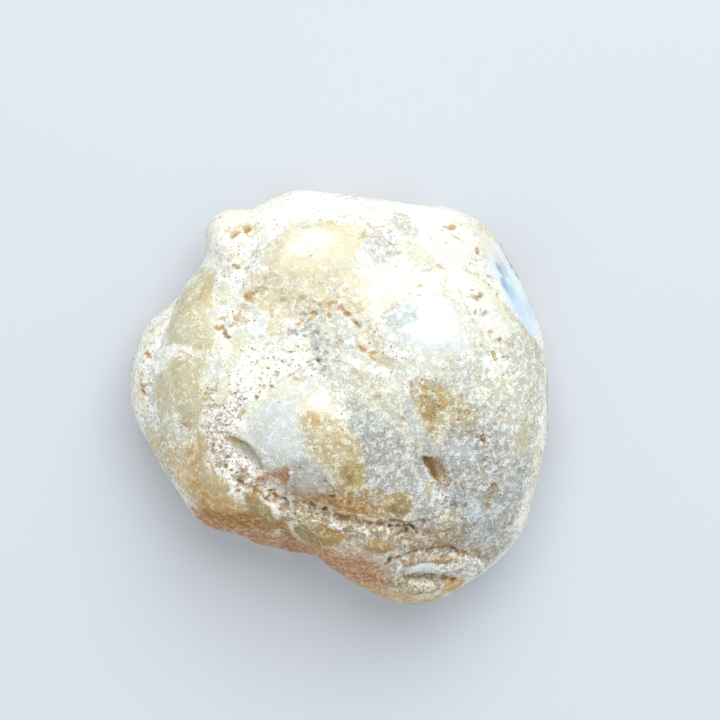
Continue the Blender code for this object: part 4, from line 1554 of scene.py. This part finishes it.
@dataclass(frozen=True)
class RindFinish:
    """The rind: its ground, its broken crust, rust specks and pores. The piece's attributes say how much."""

    warm: tuple[float, float, float] = (0.985, 0.945, 0.83)
    cool: tuple[float, float, float] = (1.01, 1.045, 1.12)
    crust_start: float = 0.585
    crust_gain: float = -0.17
    crust_edge: float = 0.012
    rust: Shown = (206, 158, 92)
    rust_cover: float = 0.7
    rust_start: float = 0.72
    rust_gain: float = -0.26
    rust_edge: float = 0.05
    pore_tint: Shown = (128, 100, 66)
    pore_cover: float = 0.8
    pore_cells: float = 0.42
    pore_chance: float = 0.4
    pore_fray: float = 0.6
    pore_band: Span = (0.52, 0.68)
    pore_depth: float = 0.08
    dull: float = 0.85
    shiny: float = 0.4
    fine_share: float = 0.62
    coarse_share: float = 0.38
    grain_base: float = 0.35
    grain_gain: float = 1.75
    crust_height: float = 0.05
    grain_height: float = 0.12
    relief: float = 0.9

    def hue(self, w: Wiring, colour: Socket, varied: Socket) -> Socket:
        """Lets a colour drift between warm and cool, by the share that varied gives."""
        drift = w.step(w.noise(3.0, detail=2.5, roughness=0.6, warp=0.3), 0.34, 0.66)
        return w.mix(varied, colour, w.mix(drift, (*self.warm, 1.0), (*self.cool, 1.0)), "MULTIPLY")

    def crust(self, w: Wiring, crusted: Socket) -> Socket:
        """Share of the crust at each point. Its edges are crisp and ragged.

        Args:
            w: The material's wiring.
            crusted: How much of the rind is crusted.

        Returns:
            The share.
        """
        value = w.noise(1.0, detail=3.0, roughness=0.95, warp=0.5)
        threshold = w.math("MULTIPLY_ADD", crusted, self.crust_gain, self.crust_start)
        low = w.math("SUBTRACT", threshold, self.crust_edge)
        high = w.math("ADD", threshold, self.crust_edge)
        return w.step(value, low, high)

    def rust_specks(self, w: Wiring, rusty: Socket) -> Socket:
        """Share of the rust specks at each point.

        Args:
            w: The material's wiring.
            rusty: How much of the rind is rusty.

        Returns:
            The share.
        """
        value = w.noise(0.95, detail=4.0, roughness=0.66, warp=0.2)
        threshold = w.math("MULTIPLY_ADD", rusty, self.rust_gain, self.rust_start)
        return w.step(value, threshold, w.math("ADD", threshold, self.rust_edge))

    def pores(self, w: Wiring, wanted: Socket, ragged: Socket) -> Socket:
        """Share of a pore at each point: small ragged holes in some of the cells.

        Args:
            w: The material's wiring.
            wanted: How porous the rind is.
            ragged: Noise that makes the holes uneven.

        Returns:
            The share.
        """
        distance, random_colour = w.cells(self.pore_cells)
        chance = w.split(random_colour)[0]
        inside = w.math("LESS_THAN", chance, w.math("MULTIPLY", wanted, self.pore_chance))
        uneven = w.math("MULTIPLY_ADD", ragged, self.pore_fray, distance)
        return w.math("MULTIPLY", inside, w.math("SUBTRACT", 1.0, w.step(uneven, *self.pore_band)))

    def make(self) -> bpy.types.Material:
        """Makes the material.

        Returns:
            The material.
        """
        w = Wiring("opal_rind_finish")
        traits, ground, over = w.attribute("traits"), w.attribute("ground"), w.attribute("crust")
        crusted, wanted, gloss = w.split(traits.outputs["Color"])
        grain = traits.outputs["Alpha"]
        crust = self.crust(w, crusted)
        colour = w.mix(crust, ground.outputs["Color"], over.outputs["Color"])
        colour = self.hue(w, colour, over.outputs["Alpha"])
        specks = self.rust_specks(w, ground.outputs["Alpha"])
        rusted = w.math("MULTIPLY", specks, self.rust_cover)
        colour = w.mix(rusted, colour, colour_of(self.rust), "MULTIPLY")
        fine = w.noise(0.22, detail=1.0, roughness=1.0)
        coarse = w.noise(1.6, detail=2.0, roughness=1.0)
        fine_part = w.math("MULTIPLY", fine, self.fine_share)
        coarse_part = w.math("MULTIPLY", coarse, self.coarse_share)
        speckled = w.math("ADD", fine_part, coarse_part)
        gain = w.math("MULTIPLY", w.math("ADD", grain, self.grain_base), self.grain_gain)
        light = w.math("MULTIPLY_ADD", w.math("SUBTRACT", speckled, 0.5), gain, 1.0)
        colour = w.mix(1.0, colour, light, "MULTIPLY")
        pore = self.pores(w, wanted, fine)
        tinted = w.math("MULTIPLY", pore, self.pore_cover)
        colour = w.mix(tinted, colour, colour_of(self.pore_tint), "MULTIPLY")
        w.join(colour, w.shader.inputs["Base Color"])
        roughness = w.math("MULTIPLY_ADD", gloss, self.shiny - self.dull, self.dull)
        w.join(roughness, w.shader.inputs["Roughness"])
        rough = w.math("MULTIPLY", w.noise(0.7, detail=4.0, roughness=0.8), self.grain_height)
        height = w.math("MULTIPLY", w.math("MULTIPLY_ADD", crust, self.crust_height, rough), grain)
        height = w.math("SUBTRACT", height, w.math("MULTIPLY", pore, self.pore_depth))
        w.bump(height, self.relief)
        return w.material


@dataclass(frozen=True)
class SawnFinish:
    """The polished sawn face: milky opal with mossy dendrites."""

    milk: Shown = (226, 234, 236)
    deep: Shown = (168, 194, 212)
    moss: Shown = (38, 31, 28)
    cloud_band: Span = (0.4, 0.65)
    clump_band: Span = (0.5, 0.66)
    moss_band: Span = (0.52, 0.56)
    roughness: float = 0.08

    def make(self) -> bpy.types.Material:
        """Makes the material.

        Returns:
            The material.
        """
        w = Wiring("sawn_opal_finish")
        cloud = w.step(w.noise(9.0, detail=3.0, roughness=0.5, warp=0.6), *self.cloud_band)
        colour = w.mix(cloud, colour_of(self.milk), colour_of(self.deep))
        clumps = w.step(w.noise(7.0, detail=2.0, roughness=0.5), *self.clump_band)
        moss = w.step(w.noise(1.4, detail=8.0, roughness=0.72, warp=0.8), *self.moss_band)
        colour = w.mix(w.math("MULTIPLY", clumps, moss), colour, colour_of(self.moss))
        w.join(colour, w.shader.inputs["Base Color"])
        w.shader.inputs["Roughness"].default_value = self.roughness
        return w.material


@dataclass(frozen=True)
class Cloud:
    """A patch of colour in the window, round one photograph pixel, with its radius in millimetres."""

    pixel: Pixel
    hue: Hue
    radius: float
    strength: float = 0.9


@dataclass(frozen=True)
class WindowFinish:
    """The polished window: clear bluish opal that turns back into rind at both ends."""

    pale: Hue = Hue.CLEAR
    veil: Hue = Hue.BLUE
    veiled: float = 0.5
    veil_band: Span = (0.42, 0.66)
    fray: float = 1.6
    heart: float = 0.5
    roughness: float = 0.22
    clouds: tuple[Cloud, ...] = (
        Cloud((516, 300), Hue.SKY, 3.4),
        Cloud((509, 290), Hue.BLUE, 2.3),
        Cloud((504, 284), Hue.DEEP_BLUE, 1.4),
        Cloud((502, 268), Hue.ICE_BLUE, 2.3),
        Cloud((499, 268), Hue.SLATE, 1.4),
        Cloud((503, 276), Hue.SLATE, 1.0, 0.6),
        Cloud((495, 254), Hue.BONE, 2.2, 1.0),
        Cloud((489, 250), Hue.WHITE, 2.4, 1.0),
        Cloud((490, 240), Hue.WHITE, 3.0, 1.0),
        Cloud((484, 238), Hue.LINEN, 3.2, 1.0),
        Cloud((480, 230), Hue.LINEN, 3.4, 1.0),
        Cloud((511, 314), Hue.CELADON, 0.9, 0.8),
        Cloud((526, 330), Hue.CELADON, 0.9, 0.7),
        Cloud((541, 352), Hue.PALE_OLIVE, 1.6, 1.0),
    )

    def make(self, skin: Skin) -> bpy.types.Material:
        """Makes the material, with its clouds where the photograph shows them on the surface.

        Args:
            skin: The surface that the clouds are laid on.

        Returns:
            The material.
        """
        w = Wiring("window_opal_finish")
        uneven = w.noise(1.1, detail=4.0, roughness=0.6, warp=0.4)
        ragged = w.math("MULTIPLY_ADD", uneven, self.fray, -0.5 * self.fray)
        veils = w.step(w.noise(5.0, detail=3.0, roughness=0.5, warp=0.6), *self.veil_band)
        veiled = w.math("MULTIPLY", veils, self.veiled)
        colour = w.mix(veiled, colour_of(self.pale.value), colour_of(self.veil.value))
        for cloud in self.clouds:
            distance = w.math("ADD", w.away_from(skin.under(cloud.pixel)), ragged)
            fading = w.step(distance, self.heart * cloud.radius, cloud.radius)
            share = w.math("MULTIPLY", w.math("SUBTRACT", 1.0, fading), cloud.strength)
            colour = w.mix(share, colour, colour_of(cloud.hue.value))
        w.join(colour, w.shader.inputs["Base Color"])
        w.shader.inputs["Roughness"].default_value = self.roughness
        return w.material


class Side(Enum):
    """The material slots of the stone."""

    RIND = 0
    SAWN = 1
    WINDOW = 2


@dataclass(frozen=True)
class Cut:
    """One of the two flat cuts, with a point and its normal, in millimetres.

    The ring is the width of a band of small faces round the cut, which keeps its edge even.
    """

    side: Side
    point: Vector
    normal: Vector
    crease: float
    ring: float = 0.0
    flat_within: float = 0.03
    least_agreement: float = 0.99

    def holds(self, place: Vector, normal: Vector) -> bool:
        """Whether a face at a place, in metres, belongs to this cut."""
        off = (place / MM - self.point).dot(self.normal)
        return abs(off) < self.flat_within and normal.dot(self.normal) > self.least_agreement


@dataclass
class OpalStone:
    """The stone itself, from its solid to its finished mesh."""

    merge_within: float = 0.002
    window_lean: float = 0.6
    large_from: float = 0.99
    level_agreement: float = 0.99999
    sawn_crease: float = 0.55
    sawn_ring: float = 0.8
    window_crease: float = 0.3
    quads_within: float = 60.0
    smooth_within: float = 40.0
    subdivisions: int = 3
    triangle_budget: int = 190000
    border_hold: float = 1000.0
    edge_keeps: float = 1.4
    stone: bpy.types.Object = field(init=False)
    cuts: tuple[Cut, ...] = field(init=False)
    skin: Skin = field(init=False)
    coat: Coat = field(init=False)

    def copy_solid(self) -> None:
        """Copies the solid and turns its loose triangles into one mesh."""
        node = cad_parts[NODE]
        self.stone = bpy.data.objects.new("opal_stone", node.data.copy())
        bpy.context.scene.collection.objects.link(self.stone)
        self.stone.data.materials.clear()
        for _ in Side:
            self.stone.data.materials.append(None)
        make_active(self.stone)
        bpy.ops.object.mode_set(mode="EDIT")
        bpy.ops.mesh.select_all(action="SELECT")
        bpy.ops.mesh.remove_doubles(threshold=self.merge_within * MM)
        bpy.ops.object.mode_set(mode="OBJECT")

    def find_cuts(self) -> None:
        """Finds the sawn face below, and the window: the largest flat area that faces neither up nor down."""
        mesh = self.stone.data
        normals = np.array([face.normal[:] for face in mesh.polygons])
        areas = np.array([face.area for face in mesh.polygons])
        leaning = np.abs(normals[:, 2]) < self.window_lean
        best, found = 0.0, 0
        for number in np.flatnonzero(leaning & (areas > np.quantile(areas, self.large_from))):
            alike = areas[normals @ normals[number] > self.level_agreement].sum()
            if alike > best:
                best, found = alike, int(number)
        face = mesh.polygons[found]
        downwards = Vector((0.0, 0.0, -1.0))
        sawn = Cut(Side.SAWN, Vector(), downwards, self.sawn_crease, self.sawn_ring)
        window = Cut(Side.WINDOW, face.center / MM, face.normal.copy(), self.window_crease)
        self.cuts = (sawn, window)

    def flatten(self, cut: Cut) -> None:
        """Makes one face of a flat cut, keeps its edge crisp and gives it its slot.

        Args:
            cut: The cut.
        """
        for face in self.stone.data.polygons:
            face.select = cut.holds(face.center, face.normal)
        bpy.ops.object.mode_set(mode="EDIT")
        bpy.ops.mesh.dissolve_faces()
        self.stone.active_material_index = cut.side.value
        bpy.ops.object.material_slot_assign()
        if cut.ring > 0.0:
            bpy.ops.mesh.inset(thickness=cut.ring * MM, depth=0.0)
            bpy.ops.mesh.region_to_loop()
            bpy.ops.transform.edge_crease(value=1.0)
            bpy.ops.mesh.select_mode(type="FACE")
            bpy.ops.mesh.select_all(action="DESELECT")
            bpy.ops.object.material_slot_select()
        bpy.ops.mesh.region_to_loop()
        bpy.ops.transform.edge_crease(value=cut.crease)
        bpy.ops.mesh.select_mode(type="FACE")
        bpy.ops.mesh.select_all(action="DESELECT")
        bpy.ops.object.mode_set(mode="OBJECT")

    def smooth(self) -> None:
        """Smooths the facets away but keeps the two cuts flat."""
        make_active(self.stone)
        bpy.ops.object.mode_set(mode="EDIT")
        bpy.ops.mesh.select_mode(type="FACE")
        bpy.ops.mesh.select_all(action="DESELECT")
        bpy.ops.object.mode_set(mode="OBJECT")
        for cut in self.cuts:
            self.flatten(cut)
        bpy.ops.object.mode_set(mode="EDIT")
        bpy.ops.mesh.select_all(action="SELECT")
        angle = math.radians(self.quads_within)
        bpy.ops.mesh.tris_convert_to_quads(face_threshold=angle, shape_threshold=angle)
        bpy.ops.object.mode_set(mode="OBJECT")
        bpy.ops.object.modifier_add(type="SUBSURF")
        subdivision = self.stone.modifiers[-1]
        subdivision.levels = subdivision.render_levels = self.subdivisions
        bpy.ops.object.modifier_apply(modifier=subdivision.name)

    def read_skin(self) -> None:
        """Reads the smooth surface."""
        mesh = self.stone.data
        places = np.empty(len(mesh.vertices) * 3)
        mesh.vertices.foreach_get("co", places)
        places = places.reshape(-1, 3) / MM
        outward = np.empty(len(mesh.vertices) * 3)
        mesh.vertex_normals.foreach_get("vector", outward)
        tree = BVHTree.FromPolygons(places.tolist(), [face.vertices[:] for face in mesh.polygons])
        self.skin = Skin(places, outward.reshape(-1, 3), tree, Eye())

    def carve(self) -> None:
        """Moves each place by its lift, and slides it along a cut where it lies near one."""
        moves = self.skin.outward * self.coat.lift[:, None]
        for cut in self.cuts:
            normal = np.array(cut.normal)
            depth = np.abs((self.skin.places - np.array(cut.point)) @ normal)
            held = 1.0 - smoothstep(0.0, self.edge_keeps, depth)
            moves -= (held * (moves @ normal))[:, None] * normal
        self.stone.data.vertices.foreach_set("co", ((self.skin.places + moves) * MM).ravel())
        self.stone.data.update()

    def hold_borders(self) -> str:
        """Gathers the places where two finishes meet, so that thinning leaves them alone.

        Returns:
            The name of their vertex group.
        """
        finishes: dict[tuple[int, int], set[int]] = {}
        for face in self.stone.data.polygons:
            for edge in face.edge_keys:
                finishes.setdefault(edge, set()).add(face.material_index)
        shared = [edge for edge, found in finishes.items() if len(found) > 1]
        numbers = sorted({number for edge in shared for number in edge})
        group = self.stone.vertex_groups.new(name="borders")
        group.add(numbers, 1.0, "REPLACE")
        return group.name

    def thin_out(self) -> None:
        """Brings the mesh within its budget, with the most triangles left where it is busiest."""
        triangles = sum(len(face.vertices) - 2 for face in self.stone.data.polygons)
        make_active(self.stone)
        bpy.ops.object.modifier_add(type="DECIMATE")
        thinning = self.stone.modifiers[-1]
        thinning.ratio = min(1.0, self.triangle_budget / triangles)
        thinning.vertex_group = self.hold_borders()
        thinning.invert_vertex_group = True
        thinning.vertex_group_factor = self.border_hold
        bpy.ops.object.modifier_apply(modifier=thinning.name)
        self.stone.vertex_groups.clear()

    def wear(self) -> None:
        """Writes the coat onto the thinned mesh as point attributes."""
        mesh = self.stone.data
        moved = self.skin.places + self.skin.outward * self.coat.lift[:, None]
        finder = kdtree.KDTree(len(moved))
        for number, place in enumerate(moved):
            finder.insert(place, number)
        finder.balance()
        nearest = [finder.find(vert.co / MM)[1] for vert in mesh.vertices]
        for name, values in self.coat.layers.items():
            layer = mesh.attributes.new(name, "FLOAT_COLOR", "POINT")
            layer.data.foreach_set("color", values[nearest].astype(np.float32).ravel())

    def dress(self) -> None:
        """Fills the slots of the rind and of the two cuts."""
        mesh = self.stone.data
        mesh.materials[Side.RIND.value] = RindFinish().make()
        mesh.materials[Side.SAWN.value] = SawnFinish().make()
        mesh.materials[Side.WINDOW.value] = WindowFinish().make(self.skin)
        make_active(self.stone)
        bpy.ops.object.shade_smooth_by_angle(angle=math.radians(self.smooth_within))

    def build(self) -> bpy.types.Object:
        """Makes the stone.

        Returns:
            The finished piece.
        """
        self.copy_solid()
        self.find_cuts()
        self.smooth()
        log.info("smoothed: %d places", len(self.stone.data.vertices))
        self.read_skin()
        log.info("skin read")
        self.coat = Rind(self.skin).grow()
        log.info("rind grown")
        self.carve()
        self.thin_out()
        log.info("thinned: %d faces", len(self.stone.data.polygons))
        self.wear()
        self.dress()
        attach(self.stone, BODY)
        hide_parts(NODE)
        return self.stone


@dataclass(frozen=True)
class Studio:
    """The pale floor and the soft light. Lengths are in metres."""

    floor_side: float = 1.6
    floor_drop: float = 0.02 * MM
    floor_colour: Shown = (214, 220, 228)
    floor_roughness: float = 0.9
    sky: tuple[float, float, float] = (0.96, 0.98, 1.0)
    sky_strength: float = 0.67
    lamp_place: tuple[float, float, float] = (0.12, 0.5, 0.75)
    lamp_side: float = 0.8
    lamp_watts: float = 5.6

    def lay_floor(self) -> None:
        """Lays the floor that the stone rests on."""
        deselect_all()
        bpy.ops.mesh.primitive_plane_add(size=self.floor_side, location=(0.0, 0.0, -self.floor_drop))
        floor = bpy.context.active_object
        floor.name = "floor"
        w = Wiring("floor_finish")
        w.shader.inputs["Base Color"].default_value = colour_of(self.floor_colour)
        w.shader.inputs["Roughness"].default_value = self.floor_roughness
        floor.data.materials.append(w.material)

    def hang_lamp(self) -> None:
        """Hangs the square lamp that stands for a window, facing the stone."""
        data = bpy.data.lights.new("window_light", "AREA")
        data.size = self.lamp_side
        data.energy = self.lamp_watts
        lamp = bpy.data.objects.new("window_light", data)
        bpy.context.scene.collection.objects.link(lamp)
        lamp.location = self.lamp_place
        lamp.rotation_euler = (-Vector(self.lamp_place)).to_track_quat("-Z", "Y").to_euler()

    def set_up(self) -> None:
        """Lays the floor, hangs the lamp and brightens the sky."""
        self.lay_floor()
        self.hang_lamp()
        world = bpy.data.worlds.new("soft_sky")
        world.use_nodes = True
        background = world.node_tree.nodes["Background"]
        background.inputs["Color"].default_value = (*self.sky, 1.0)
        background.inputs["Strength"].default_value = self.sky_strength
        bpy.context.scene.world = world
        bpy.context.scene.view_settings.view_transform = "Standard"


def main() -> None:
    """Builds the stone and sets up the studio."""
    logging.basicConfig(level=logging.INFO, format="%(relativeCreated)6d ms %(message)s")
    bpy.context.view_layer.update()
    Eye().set_up()
    Studio().set_up()
    log.info("studio ready")
    stone = OpalStone().build()
    log.info("%s: %d vertices", stone.name, len(stone.data.vertices))


if __name__ == "__main__":
    main()
